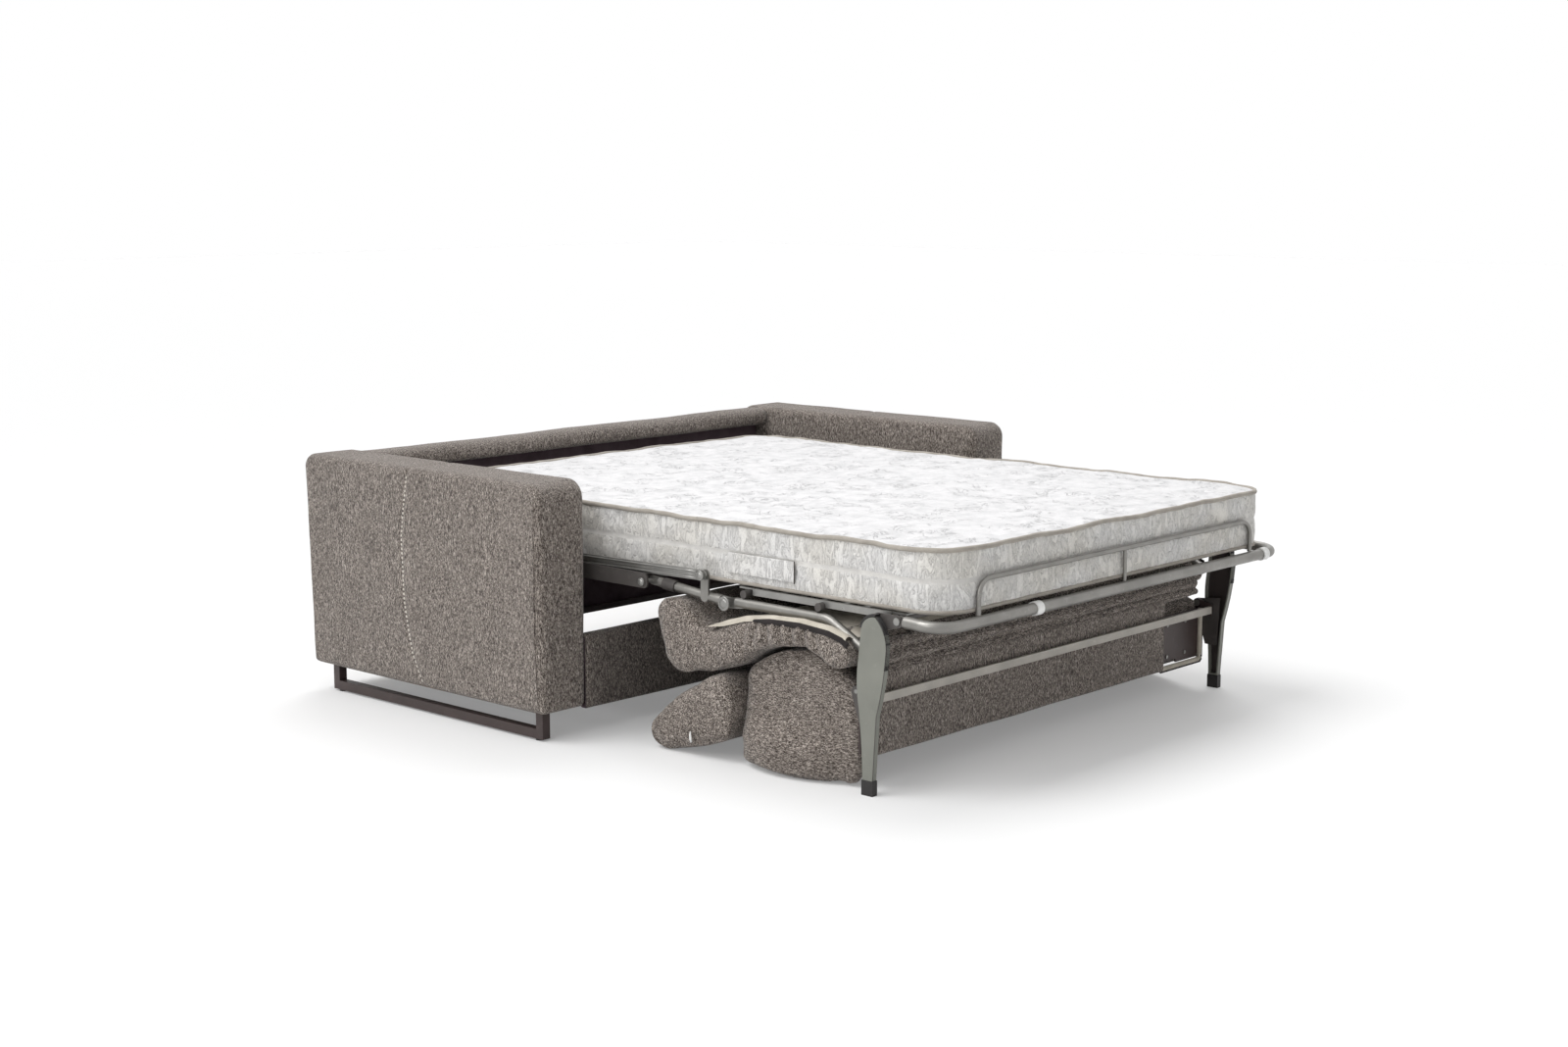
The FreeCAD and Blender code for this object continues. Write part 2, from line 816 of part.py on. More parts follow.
def make_seat_cushions():
    steps = [
        ((-222, 371), (-258, 384)),
        ((-304, 378), (-338, 348)),
        ((-384, 324), (-432, 338)),
        ((-512, 362), (-596, 375)),
        ((-690, 379), (-780, 372)),
        ((-822, 362), (-838, 350)),
        ((-845, 320), (-836, 298)),
        ((-800, 287), (-764, 295)),
        ((-706, 318), (-646, 315)),
        ((-572, 300), (-500, 258)),
        ((-420, 226), (-331, 212)),
        ((-272, 210), (-244, 240)),
    ]
    stations = cushion_stations(-seat_cushion_half, -cushion_split / 2, 0.02)
    cushion = pillow((-216, 330), steps, stations, (-520, 300))
    add_sides("seat_cushion", cushion.cut(cushion_groove[0]))


# Mattress: firm core slabs on the sections and a soft quilted top that bends and packs down
def rounded_slab(y0, y1, z0, z1, round_low, round_high, edge):
    """Slab across the bed, with its plan corners rounded at either end and its rim eased."""
    half = mattress_width / 2
    k = 1 - math.sqrt(0.5)
    low = max(round_low, 0.5)
    high = max(round_high, 0.5)
    z = z0
    points = [
        (vec(-half + low, y0, z), vec(half - low, y0, z)),
        (vec(half - k * low, y0 + k * low, z), vec(half, y0 + low, z)),
        (vec(half, y1 - high, z),),
        (vec(half - k * high, y1 - k * high, z), vec(half - high, y1, z)),
        (vec(-half + high, y1, z),),
        (vec(-half + k * high, y1 - k * high, z), vec(-half, y1 - high, z)),
        (vec(-half, y0 + low, z),),
        (vec(-half + k * low, y0 + k * low, z), vec(-half + low, y0, z)),
    ]
    here = points[0][0]
    edges = [Part.LineSegment(here, points[0][1]).toShape()]
    here = points[0][1]
    for step in points[1:]:
        if len(step) == 1:
            edges.append(Part.LineSegment(here, step[0]).toShape())
        else:
            edges.append(Part.Arc(here, step[0], step[1]).toShape())
        here = step[-1]
    slab = Part.Face(Part.Wire(edges)).extrude(vec(0, 0, z1 - z0))
    if edge:
        rim = [
            e for e in slab.Edges
            if e.BoundBox.ZMin > z1 - 0.01 and not (
                e.BoundBox.YLength < 0.01
                and (low < 1 and abs(e.BoundBox.YMin - y0) < 0.01
                     or high < 1 and abs(e.BoundBox.YMin - y1) < 0.01)
            )
        ]
        slab = slab.makeFillet(edge, rim)
    return slab


def make_mattress():
    a = fold_pivot[0]
    b = seat_pivot[0]
    h = head_pivot[0]
    g = segment_gap / 2
    core_top = bed_level + core_thickness
    top = bed_level + mattress_thickness
    head_core_top = bed_level + head_core_thickness
    core_inset = 8.0
    head_core = rounded_slab(h + 22, h + 96, bed_level, head_core_top, 0, 0, 0)
    fold_room = head_core_thickness + bed_level - head_pivot[1] + 4
    middle_core = rounded_slab(a + core_inset, h - fold_room, bed_level, core_top, 0, 0, 0)
    foot_core = rounded_slab(
        mattress_foot_end + 95, b - core_inset, bed_level, core_top, 0, 0, 0,
    )
    add("mattress_core_head", head_core)
    add("mattress_core_middle", middle_core)
    add("mattress_core_foot", foot_core)
    spans = (
        ("mattress_top_head", h + g, mattress_head_end, 0, mattress_round),
        ("mattress_top_middle", a + g, h - g, 0, 0),
        ("mattress_top_fold", b + g, a - g, 0, 0),
        ("mattress_top_foot", mattress_foot_end, b - g, mattress_round, 0),
    )
    cores = {
        "mattress_top_head": head_core,
        "mattress_top_middle": middle_core,
        "mattress_top_foot": foot_core,
    }
    for name, y0, y1, round_low, round_high in spans:
        slab = rounded_slab(y0, y1, bed_level, top, round_low, round_high, mattress_edge)
        if name in cores:
            slab = slab.cut(cores[name])
        add(name, slab)


make_arms()
make_back()
make_front_rail()
make_sled_legs()
make_base()
make_swing_arms()
make_carriage()
make_head()
make_fold_link()
make_upper_link()
make_seat_section()
make_bed_legs()
make_foot_loop()
make_backrest()
make_back_cushions()
make_headrests()
make_seat_cushions()
make_mattress()

os.makedirs("parts", exist_ok=True)
for name, shape in shapes.items():
    placed = shape.copy()
    placed.translate(vec(0, y_shift, 0))
    placed.exportStep(os.path.join("parts", name + ".step"))
print(len(shapes), "nodes")
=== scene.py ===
# Sleeper sofa with a pull out bed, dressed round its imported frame. Metres, +Z up, the bed opens
# towards -Y. The builder's own places are in millimetres, with y = 0 at the front of the arms.
import math

import bmesh
import bpy
import numpy as np
from mathutils import Matrix, Vector, noise


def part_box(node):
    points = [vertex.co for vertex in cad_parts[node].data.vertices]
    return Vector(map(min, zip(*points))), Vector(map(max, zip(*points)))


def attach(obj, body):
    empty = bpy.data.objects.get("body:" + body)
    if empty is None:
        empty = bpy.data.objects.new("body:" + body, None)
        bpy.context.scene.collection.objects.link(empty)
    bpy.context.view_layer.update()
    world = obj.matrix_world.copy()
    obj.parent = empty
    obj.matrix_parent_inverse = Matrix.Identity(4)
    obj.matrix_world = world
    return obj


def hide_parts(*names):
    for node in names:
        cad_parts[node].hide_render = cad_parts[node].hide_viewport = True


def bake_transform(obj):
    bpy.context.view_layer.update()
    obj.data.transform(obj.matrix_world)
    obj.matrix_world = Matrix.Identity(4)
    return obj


noise.seed_set(4)  # the same puffs and waves in every run
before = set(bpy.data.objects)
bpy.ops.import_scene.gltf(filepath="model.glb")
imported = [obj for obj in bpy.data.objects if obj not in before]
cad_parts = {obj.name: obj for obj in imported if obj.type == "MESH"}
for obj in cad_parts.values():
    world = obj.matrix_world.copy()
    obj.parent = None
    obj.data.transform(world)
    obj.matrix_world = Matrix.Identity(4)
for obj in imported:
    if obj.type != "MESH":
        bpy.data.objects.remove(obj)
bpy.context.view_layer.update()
arm_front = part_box("arm_cover_left")[0].y


def metres(points):
    """Places in millimetres from the front of the arms, as metres in the frame."""
    places = np.array(points, float) / 1000
    places[..., 1] += arm_front
    return places


def add_thing(name, data):
    """A new object in the scene."""
    thing = bpy.data.objects.new(name, data)
    bpy.context.scene.collection.objects.link(thing)
    return thing


# Camera at the photograph's viewing angle
photo_width, focal_length = 1600, 2286.5  # both in the photograph's pixels
camera_place = (-4600.3, -4124.1, 1418.7)
camera_drop, camera_turn = 8.864, 47.774
camera = add_thing("camera", bpy.data.cameras.new("camera"))
camera.location = metres(camera_place)
camera.rotation_euler = (math.radians(90 - camera_drop), 0, math.radians(-camera_turn))
camera.data.sensor_width = 36
camera.data.lens = camera.data.sensor_width * focal_length / photo_width
bpy.context.scene.camera = camera


# Finishes
class Wire:
    """One output in a node tree. Plain expressions on it add the Math nodes."""

    def __init__(self, nodes, socket):
        self.nodes = nodes
        self.socket = socket

    def maths(self, operation, *values):
        return self.nodes.node("ShaderNodeMath", {"operation": operation}, dict(enumerate(values)))

    def __add__(self, other):
        return self.maths("ADD", self, other)

    def __sub__(self, other):
        return self.maths("SUBTRACT", self, other)

    def __mul__(self, other):
        return self.maths("MULTIPLY", self, other)

    def __radd__(self, other):
        return self.maths("ADD", other, self)

    def __rsub__(self, other):
        return self.maths("SUBTRACT", other, self)

    def __rmul__(self, other):
        return self.maths("MULTIPLY", other, self)

    def __abs__(self):
        return self.maths("ABSOLUTE", self)

    def above(self, edge, soft):
        """0 below the edge, 1 above it, with a soft step between."""
        settings = {"interpolation_type": "SMOOTHSTEP"}
        sockets = {"Value": self, "From Min": edge - soft, "From Max": edge + soft}
        return self.nodes.node("ShaderNodeMapRange", settings, sockets)


class Nodes:
    """A node tree, with one way to add any node to it."""

    def __init__(self, tree):
        self.tree = tree

    def node(self, kind, settings=None, sockets=None, out=0):
        made = self.tree.nodes.new(kind)
        for key, value in (settings or {}).items():
            if key == "stops":
                ramp = made.color_ramp
                while len(ramp.elements) < len(value):
                    ramp.elements.new(0.5)
                for stop, (place, colour) in zip(ramp.elements, value):
                    stop.position = place
                    stop.color = (*colour, 1)
            else:
                setattr(made, key, value)
        for key, value in (sockets or {}).items():
            if isinstance(value, Wire):
                self.tree.links.new(value.socket, made.inputs[key])
            else:
                made.inputs[key].default_value = value
        return Wire(self, made.outputs[out])


class Finish(Nodes):
    """A material. Its constant sockets are named arguments, with _ for each space."""

    def __init__(self, name, **constants):
        self.material = bpy.data.materials.new(name)
        self.material.use_nodes = True
        super().__init__(self.material.node_tree)
        self.shader = self.tree.nodes["Principled BSDF"]
        for socket, value in constants.items():
            self.shader.inputs[socket.replace("_", " ")].default_value = value

    def feed(self, socket, wire):
        self.tree.links.new(wire.socket, self.shader.inputs[socket])

    def place(self, stretch=(1, 1, 1)):
        """Where a point lies on the piece. Patterns get longer along an axis below 1."""
        here = self.node("ShaderNodeTexCoord", out="Object")
        return self.node("ShaderNodeVectorMath", {"operation": "MULTIPLY"}, {0: here, 1: stretch})

    def axis(self, letter):
        here = self.node("ShaderNodeTexCoord", out="Object")
        return self.node("ShaderNodeSeparateXYZ", None, {0: here}, out=letter)

    def grain(self, vector, scale, detail=2.0, rough=0.5, twist=0.0):
        sockets = {"Vector": vector, "Scale": scale, "Detail": detail}
        sockets.update({"Roughness": rough, "Distortion": twist})
        return self.node("ShaderNodeTexNoise", None, sockets, out="Fac")

    def cells(self, vector, scale):
        return self.node("ShaderNodeTexVoronoi", None, {"Vector": vector, "Scale": scale}, out="Distance")

    def ramp(self, value, *stops):
        return self.node("ShaderNodeValToRGB", {"stops": stops}, {"Fac": value}, out="Color")

    def mix(self, factor, a, b, blend="MIX"):
        settings = {"data_type": "RGBA", "blend_type": blend}
        sockets = {0: factor}
        for index, value in ((6, a), (7, b)):
            sockets[index] = value if isinstance(value, Wire) else (*value, 1)
        return self.node("ShaderNodeMix", settings, sockets, out=2)

    def bump(self, height, strength, distance):
        sockets = {"Height": height, "Strength": strength, "Distance": distance}
        self.feed("Normal", self.node("ShaderNodeBump", None, sockets, out="Normal"))


def tone(r, g, b):
    """A colour given as it looks on a screen, 0 to 255, as the shader needs it."""
    return tuple(((v / 255 + 0.055) / 1.055) ** 2.4 for v in (r, g, b))


def shaded(colour, share):
    """A colour made darker or lighter, never past white."""
    return tuple(min(1, share * c) for c in colour)


def melange(name, stretch, shade=1.0):
    """Tweed of dark, middle and light yarns. The flecks run along the stretched axis. A shade below 1
    darkens every yarn, as painted shade.
    """
    cloth = Finish(name, Sheen_Weight=0.2, Sheen_Roughness=0.45, Specular_IOR_Level=0.2)
    run = cloth.place(stretch)
    flat = cloth.place()
    flecks = cloth.grain(run, 520, 2, 0.7, 0.3)
    yarn = cloth.grain(run, 1150, 2, 0.7)
    slub = cloth.grain(run, 210, 2, 0.5)
    cloud = cloth.grain(flat, 9, 3)
    wear = cloth.grain(flat, 34, 2)
    blend = flecks * 0.56 + yarn * 0.24 + slub * 0.2
    dark, low = shaded(tone(38, 33, 30), shade), shaded(tone(84, 76, 71), shade)
    middle, light = shaded(tone(130, 121, 114), shade), shaded(tone(208, 199, 190), shade)
    colour = cloth.ramp(blend, (0.4, dark), (0.47, low), (0.52, middle), (0.62, light))
    patchy = cloth.ramp(cloud * 0.7 + wear * 0.3, (0.3, (0.84, 0.83, 0.82)), (0.7, (1, 1, 1)))
    cloth.feed("Base Color", cloth.mix(1.0, colour, patchy, "MULTIPLY"))
    cloth.feed("Roughness", 0.84 + yarn * 0.14)
    threads = cloth.cells(run, 640)
    cloth.bump(flecks * 0.9 + threads * 0.5 + cloud * 0.8, 0.8, 0.0016)
    return cloth.material


def coated(name, colour, rough, metal):
    """Powder coat or satin steel, with a fine orange peel and rubbed spots."""
    paint = Finish(name, Metallic=metal)
    here = paint.place()
    broad = paint.grain(here, 14, 3)
    fine = paint.grain(here, 900, 2)
    rubbed = paint.grain(here, 60, 4, 0.7).above(0.62, 0.06)
    pale = tuple(min(1, c * 1.25 + 0.01) for c in colour)
    base = paint.ramp(broad, (0.35, shaded(colour, 0.82)), (0.65, colour))
    paint.feed("Base Color", paint.mix(rubbed * 0.35, base, pale))
    paint.feed("Roughness", rough + (fine - 0.5) * 0.18 - rubbed * 0.08)
    paint.bump(fine + broad * 0.6, 0.2, 0.0004)
    return paint.material


def moulded(name, colour, rough):
    """Moulded plastic with a fine grain."""
    plastic = Finish(name)
    here = plastic.place()
    speck = plastic.grain(here, 700, 2)
    broad = plastic.grain(here, 30, 2)
    plastic.feed("Base Color", plastic.ramp(broad, (0.3, shaded(colour, 0.8)), (0.7, colour)))
    plastic.feed("Roughness", rough + (speck - 0.5) * 0.2)
    plastic.bump(speck, 0.25, 0.0003)
    return plastic.material


def plain_cloth(name, deep, pale, scale=700, sheen=0.1):
    """Plain weave of a lining, tape or piping, and the fine grain of a sawn board."""
    cloth = Finish(name, Sheen_Weight=sheen, Sheen_Roughness=0.5, Specular_IOR_Level=0.25)
    here = cloth.place()
    sockets = {"Vector": here, "Scale": scale / 4, "Distortion": 1.2, "Detail Scale": 2.0}
    warp = cloth.node("ShaderNodeTexWave", {"bands_direction": "X"}, sockets, out="Fac")
    weft = cloth.node("ShaderNodeTexWave", {"bands_direction": "Z"}, sockets, out="Fac")
    speck = cloth.grain(here, scale, 3)
    broad = cloth.grain(here, 22, 3)
    cloth.feed("Base Color", cloth.ramp(speck * 0.5 + broad * 0.5, (0.34, deep), (0.64, pale)))
    cloth.feed("Roughness", 0.8 + speck * 0.18)
    cloth.bump(warp * 0.5 + weft * 0.5 + speck, 0.4, 0.0006)
    return cloth.material


def quilted(name, deep, pale):
    """Knitted top of the mattress: fine knit, and short creases where it is tacked down, darkened grey in
    the colour as painted shade.
    """
    knit = Finish(name, Sheen_Weight=0.1, Sheen_Roughness=0.4, Specular_IOR_Level=0.25)
    here = knit.place()
    swirl = knit.grain(here, 13, 3, 0.6, 1.9)
    patch = knit.grain(here, 10.5, 1, 0.5).above(0.52, 0.05)
    away = abs(swirl - 0.5)
    crease = (1 - away.above(0.009, 0.009)) * patch
    speck = knit.grain(here, 420, 3, 0.7)
    puff = knit.grain(here, 30, 2, 0.5)
    body = knit.ramp(speck * 0.5 + puff * 0.5, (0.36, deep), (0.58, pale))
    # Painted shade: the creases are mixed towards a dark grey in the colour.
    knit.feed("Base Color", knit.mix(crease * 0.62, body, shaded(deep, 0.36)))
    knit.feed("Roughness", 0.8 + speck * 0.16)
    knit.bump(away.above(0.02, 0.02) * patch * 1.3 + puff * 0.6 + speck * 0.3, 0.6, 0.0026)
    return knit.material


def puckered(name, deep, pale, warm):
    """Knitted border of the mattress: upright folds with painted shade darkening their creases, small
    stitches and grey or cream patches.
    """
    knit = Finish(name, Sheen_Weight=0.1, Sheen_Roughness=0.4, Specular_IOR_Level=0.25)
    fold = knit.grain(knit.place((1, 1, 0.34)), 52, 2, 0.55, 1.0)
    away = abs(fold - 0.5)
    crease = 1 - away.above(0.012, 0.016)
    speck = knit.grain(knit.place((1, 1, 0.5)), 330, 3, 0.75)
    broad = knit.grain(knit.place(), 7, 2)
    body = knit.ramp(speck * 0.62 + fold * 0.38, (0.38, deep), (0.6, pale))
    body = knit.mix(broad.above(0.5, 0.2) * 0.4, body, warm, "MULTIPLY")
    # Painted shade: the creases of the folds are mixed towards a dark grey in the colour.
    knit.feed("Base Color", knit.mix(crease * 0.42, body, shaded(deep, 0.36)))
    knit.feed("Roughness", 0.8 + speck * 0.16)
    knit.bump(away.above(0.03, 0.03) * 1.1 + speck * 0.4, 0.6, 0.003)
    return knit.material


def leg_paint(name, outside, inside, web_low, web_high):
    """Grey-green coat outside, and a darker colour on the hollow inner side of the bed legs: the web
    there, between two distances in metres from the middle of the sofa."""
    paint = Finish(name, Coat_Weight=0.08, Coat_Roughness=0.3)
    here = paint.place()
    reach = abs(paint.axis("X"))
    hollow = reach.above(web_low, 0.0004) - reach.above(web_high, 0.0004)
    fine = paint.grain(here, 900, 2)
    broad = paint.grain(here, 12, 3)
    rubbed = paint.grain(here, 60, 4, 0.7).above(0.64, 0.05)
    coat = paint.ramp(broad, (0.3, shaded(outside, 0.84)), (0.7, outside))
    coat = paint.mix(rubbed * 0.3, coat, shaded(outside, 1.3))
    paint.feed("Base Color", paint.mix(hollow, coat, inside))
    paint.feed("Roughness", 0.44 + (fine - 0.5) * 0.18 - rubbed * 0.06)
    paint.bump(fine + broad * 0.6, 0.2, 0.0004)
    return paint.material


tweed_upright = melange("tweed_upright", (1.2, 1.2, 0.3))
# The front rail's tweed is the same cloth made darker: painted shade.
tweed_rail_painted_shade = melange("tweed_rail_painted_shade", (1.2, 1.2, 0.3), 0.72)
tweed_level = melange("tweed_level", (0.36, 0.32, 1.4))
tweed_slant = melange("tweed_slant", (1, 0.6, 0.6))
tweed_seat = melange("tweed_seat", (0.7, 0.9, 0.5))
inner_cloth = plain_cloth("inner_lining", tone(74, 60, 66), tone(104, 89, 95))
cream_cloth = plain_cloth("cream_lining", tone(168, 161, 148), tone(204, 197, 184))
black_tape = plain_cloth("black_tape", tone(24, 21, 21), tone(44, 38, 38), 900)
thread = plain_cloth("stitch_thread", tone(205, 198, 188), tone(236, 230, 221), 2500)
# Dark cloth for a painted shadow along a seam.
painted_seam_shadow = plain_cloth("seam_shadow", tone(46, 40, 37), tone(66, 59, 54))
quilt_white = quilted("quilt_white", tone(196, 196, 197), tone(217, 216, 217))
quilt_border = puckered("quilt_border", tone(190, 189, 188), tone(224, 223, 221), tone(244, 238, 224))
piping_cloth = plain_cloth("mattress_piping", tone(140, 134, 126), tone(172, 166, 157))
tape_cloth = plain_cloth("border_tape", tone(186, 184, 181), tone(214, 212, 208))
silver = coated("silver_tube", tone(140, 138, 134), 0.38, 0.8)
link_steel = coated("link_steel", tone(150, 149, 146), 0.36, 0.8)
pale_bar = coated("pale_bar", tone(176, 171, 163), 0.5, 0.15)
leg_coat = leg_paint("leg_coat", tone(124, 125, 117), tone(50, 43, 42), 0.7532, 0.7549)
dark_coat = coated("dark_coat", tone(66, 54, 52), 0.42, 0.1)
dark_link = coated("dark_link", tone(84, 80, 78), 0.45, 0.4)
black_plastic = moulded("black_plastic", tone(34, 31, 31), 0.45)
white_plastic = moulded("white_plastic", tone(236, 236, 234), 0.4)
raw_wood = plain_cloth("raw_board", tone(150, 118, 84), tone(182, 148, 108), 120, 0)


# Mesh makers. A shape is its points, in millimetres from the front of the arms, and its faces, and
# where one piece has several finishes also the kind of each face: the number of its finish.
edge_steps = 5  # places across a rounded edge of a box
least_step = 0.8  # places closer together than this are one
bolster_steps = 5  # steps round the end of a bolster
seam_step = 3  # the step with the seam
fill_frames = 20  # length of a cloth simulation
fill_cap = 0.004  # the furthest, in metres, that it may move a point


def add_piece(name, shape, finishes):
    """A new mesh object from its points, its faces and, with several finishes, the faces' kinds."""
    points, faces, *kinds = shape
    mesh = bpy.data.meshes.new(name)
    mesh.from_pydata(metres(points).tolist(), [], [list(map(int, f)) for f in faces])
    for finish in finishes:
        mesh.materials.append(finish)
    if kinds:
        mesh.polygons.foreach_set("material_index", np.array(kinds[0], np.int32))
    mesh.update()
    mesh.shade_smooth()
    piece = add_thing(name, mesh)
    return piece


def mirror_piece(piece, name):
    """The right-hand twin of a left-hand piece."""
    twin = piece.copy()
    twin.data = piece.data.copy()
    twin.name = name
    twin.data.name = name
    twin.data.transform(Matrix.Scale(-1, 4, (1, 0, 0)))
    twin.data.flip_normals()
    bpy.context.scene.collection.objects.link(twin)
    return twin


def add_pair(name, shape, finish):
    """The same piece on the left and, mirrored, on the right."""
    left = add_piece("left_" + name, shape, [finish])
    return left, mirror_piece(left, "right_" + name)


def settle(piece, body, *nodes, padding=None):
    """Let a piece ride on its body in place of the plain solids."""
    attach(piece, body)
    if nodes:
        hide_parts(*nodes)


def turn_outwards(piece):
    """Turn all faces of a piece outwards."""
    mesh = bmesh.new()
    mesh.from_mesh(piece.data)
    bmesh.ops.recalc_face_normals(mesh, faces=mesh.faces)
    mesh.to_mesh(piece.data)
    mesh.free()
    piece.data.shade_smooth()


def drift(points, size, seed=0.0):
    """Smooth random values, about -1 to 1, one per point. Each hill is about size long."""
    return np.array([noise.noise(Vector(p) / size + Vector((seed, seed * 1.7, -seed))) for p in points])


def directions(path):
    """Unit vectors along an open path."""
    along = np.gradient(path, axis=0)
    return along / np.linalg.norm(along, axis=1)[:, None]


def sweep_tube(path, radius, sides):
    """Points and faces of a round tube along an open path. The radius may be one per point."""
    path = np.array(path, float)
    along = directions(path)
    up = np.tile((0.0, 0.0, 1.0), (len(path), 1))
    steep = np.abs(along[:, 2]) > 0.9
    up[steep] = (1.0, 0.0, 0.0)
    side = np.cross(along, up)
    side /= np.linalg.norm(side, axis=1)[:, None]
    up = np.cross(side, along)
    radius = np.broadcast_to(radius, len(path))
    rings = []
    for k in range(sides):
        a = 2 * math.pi * k / sides
        rings.append(path + (side * math.cos(a) + up * math.sin(a)) * radius[:, None])
    points = np.stack(rings, 1).reshape(-1, 3)
    faces = []
    count = len(path)
    for i in range(count - 1):
        for k in range(sides):
            a, b = i * sides + k, i * sides + (k + 1) % sides
            faces.append((a, a + sides, b + sides, b))
    faces.append(tuple(range(sides)))
    faces.append(tuple(range(count * sides - 1, (count - 1) * sides - 1, -1)))
    return points, faces


def joined(shapes):
    """Several shapes as one. All of them have kinds, or none has."""
    all_points, all_faces, all_kinds = [], [], []
    base = 0
    for points, faces, *kinds in shapes:
        all_points.append(points)
        all_faces.extend(tuple(i + base for i in face) for face in faces)
        for face_kinds in kinds:
            all_kinds.extend(face_kinds)
        base += len(points)
    whole = (np.vstack(all_points), all_faces)
    return (*whole, all_kinds) if all_kinds else whole


def loop_faces(rings, count):
    """Faces between closed rings of count points each."""
    faces = []
    for s in range(rings - 1):
        for k in range(count):
            a, b = s * count + k, s * count + (k + 1) % count
            faces.append((a, b, b + count, a + count))
    return faces


def grid_faces(rows, columns, flip=False):
    """Faces between rows of points, row after row."""
    faces = []
    for r in range(rows - 1):
        for c in range(columns - 1):
            a = r * columns + c
            face = (a, a + 1, a + columns + 1, a + columns)
            faces.append(face[::-1] if flip else face)
    return faces


def ticks(low, high, edge_low, edge_high, cell):
    """Places along one axis: close together in the rounded edges, a cell apart between."""
    inner_low = low + edge_low
    inner_high = high - edge_high
    count = max(2, round((inner_high - inner_low) / cell))
    places = set(np.linspace(low, inner_low, edge_steps)) | set(np.linspace(inner_high, high, edge_steps))
    places = sorted(places | set(np.linspace(inner_low, inner_high, count + 1)))
    kept = [places[0]]
    for place in places[1:]:
        if place - kept[-1] > least_step:
            kept.append(place)
    kept[-1] = high
    return kept


def box_skin(tx, ty, tz):
    """The six sides of a box as one grid, from its places along each axis."""
    index = {}
    points = []
    faces = []

    def corner(i, j, k):
        key = (i, j, k)
        if key not in index:
            index[key] = len(points)
            points.append((tx[i], ty[j], tz[k]))
        return index[key]

    def side(*corners):
        faces.append([corner(*place) for place in corners])

    nx, ny, nz = len(tx) - 1, len(ty) - 1, len(tz) - 1
    for i in range(nx):
        for j in range(ny):
            side((i, j, 0), (i, j + 1, 0), (i + 1, j + 1, 0), (i + 1, j, 0))
            side((i, j, nz), (i + 1, j, nz), (i + 1, j + 1, nz), (i, j + 1, nz))
    for i in range(nx):
        for k in range(nz):
            side((i, 0, k), (i + 1, 0, k), (i + 1, 0, k + 1), (i, 0, k + 1))
            side((i, ny, k), (i, ny, k + 1), (i + 1, ny, k + 1), (i + 1, ny, k))
    for j in range(ny):
        for k in range(nz):
            side((0, j, k), (0, j, k + 1), (0, j + 1, k + 1), (0, j + 1, k))
            side((nx, j, k), (nx, j + 1, k), (nx, j + 1, k + 1), (nx, j, k + 1))
    return np.array(points, float), faces


def rounded(points, low, high, edge_low, edge_high):
    """Pull the edges of a box skin in to a round."""
    low, high = np.array(low, float), np.array(high, float)
    a, b = np.array(edge_low, float), np.array(edge_high, float)
    core = np.clip(points, low + a, high - b)
    away = points - core
    reach = np.where(away < 0, a, b)
    n = away / reach
    size = np.linalg.norm(n, axis=1)
    size[size == 0] = 1
    return core + n / size[:, None] * reach


def soft_box(low, high, edge_low, edge_high, cells):
    """A box with rounded edges, in cells of the given sizes."""
    points, faces = box_skin(*(ticks(*along) for along in zip(low, high, edge_low, edge_high, cells)))
    return rounded(points, low, high, edge_low, edge_high), faces


def crown(points, low, high, swell):
    """Swell each side of a box outwards towards its middle."""
    centre = (np.array(low, float) + np.array(high, float)) / 2
    half = (np.array(high, float) - np.array(low, float)) / 2
    u = (points - centre) / half
    out = points.copy()
    for axis in range(3):
        others = [k for k in range(3) if k != axis]
        fall = (1 - np.clip(np.abs(u[:, others]), 0, 1) ** 3).prod(axis=1)
        out[:, axis] += swell[axis] * u[:, axis] ** 3 * fall
    return out


def arc_points(start, middle, end, shares):
    """Points on the arc through three places, at shares of its length."""
    (ay, az), (by, bz), (cy, cz) = start, middle, end
    a2, b2, c2 = (place @ place for place in (start, middle, end))
    d = 2 * (ay * (bz - cz) + by * (cz - az) + cy * (az - bz))
    centre = np.array((
        (a2 * (bz - cz) + b2 * (cz - az) + c2 * (az - bz)) / d,
        (a2 * (cy - by) + b2 * (ay - cy) + c2 * (by - ay)) / d,
    ))
    radius = np.linalg.norm(start - centre)
    angles = [math.atan2(*(place - centre)[::-1]) for place in (start, middle, end)]
    sweep = (angles[2] - angles[0]) % (2 * math.pi)
    if (angles[1] - angles[0]) % (2 * math.pi) > sweep:
        sweep -= 2 * math.pi
    turned = [angles[0] + sweep * share for share in shares]
    return [centre + radius * np.array((math.cos(a), math.sin(a))) for a in turned]


def arc_outline(start, steps, count, soften):
    """Closed side outline (y, z), evenly spaced and softened. Each step is an arc as (middle, end),
    or a straight stretch as (None, end)."""
    path = []
    here = np.array(start, float)
    shares = np.linspace(0, 1, 30, endpoint=False)
    for middle, end in list(steps) + [(None, start)]:
        end = np.array(end, float)
        if middle is None:
            path.extend(here + (end - here) * share for share in shares)
        else:
            path.extend(arc_points(here, np.array(middle, float), end, shares))
        here = end
    path = np.array(path)
    loop = np.vstack([path, path[:1]])
    run = np.concatenate([[0], np.cumsum(np.linalg.norm(np.diff(loop, axis=0), axis=1))])
    even = np.linspace(0, run[-1], count, endpoint=False)
    out = np.stack([np.interp(even, run, loop[:, k]) for k in range(2)], 1)
    step = run[-1] / count
    for _ in range(max(1, round((soften / step) ** 2))):
        out = (np.roll(out, 1, 0) + 2 * out + np.roll(out, -1, 0)) / 4
    return out


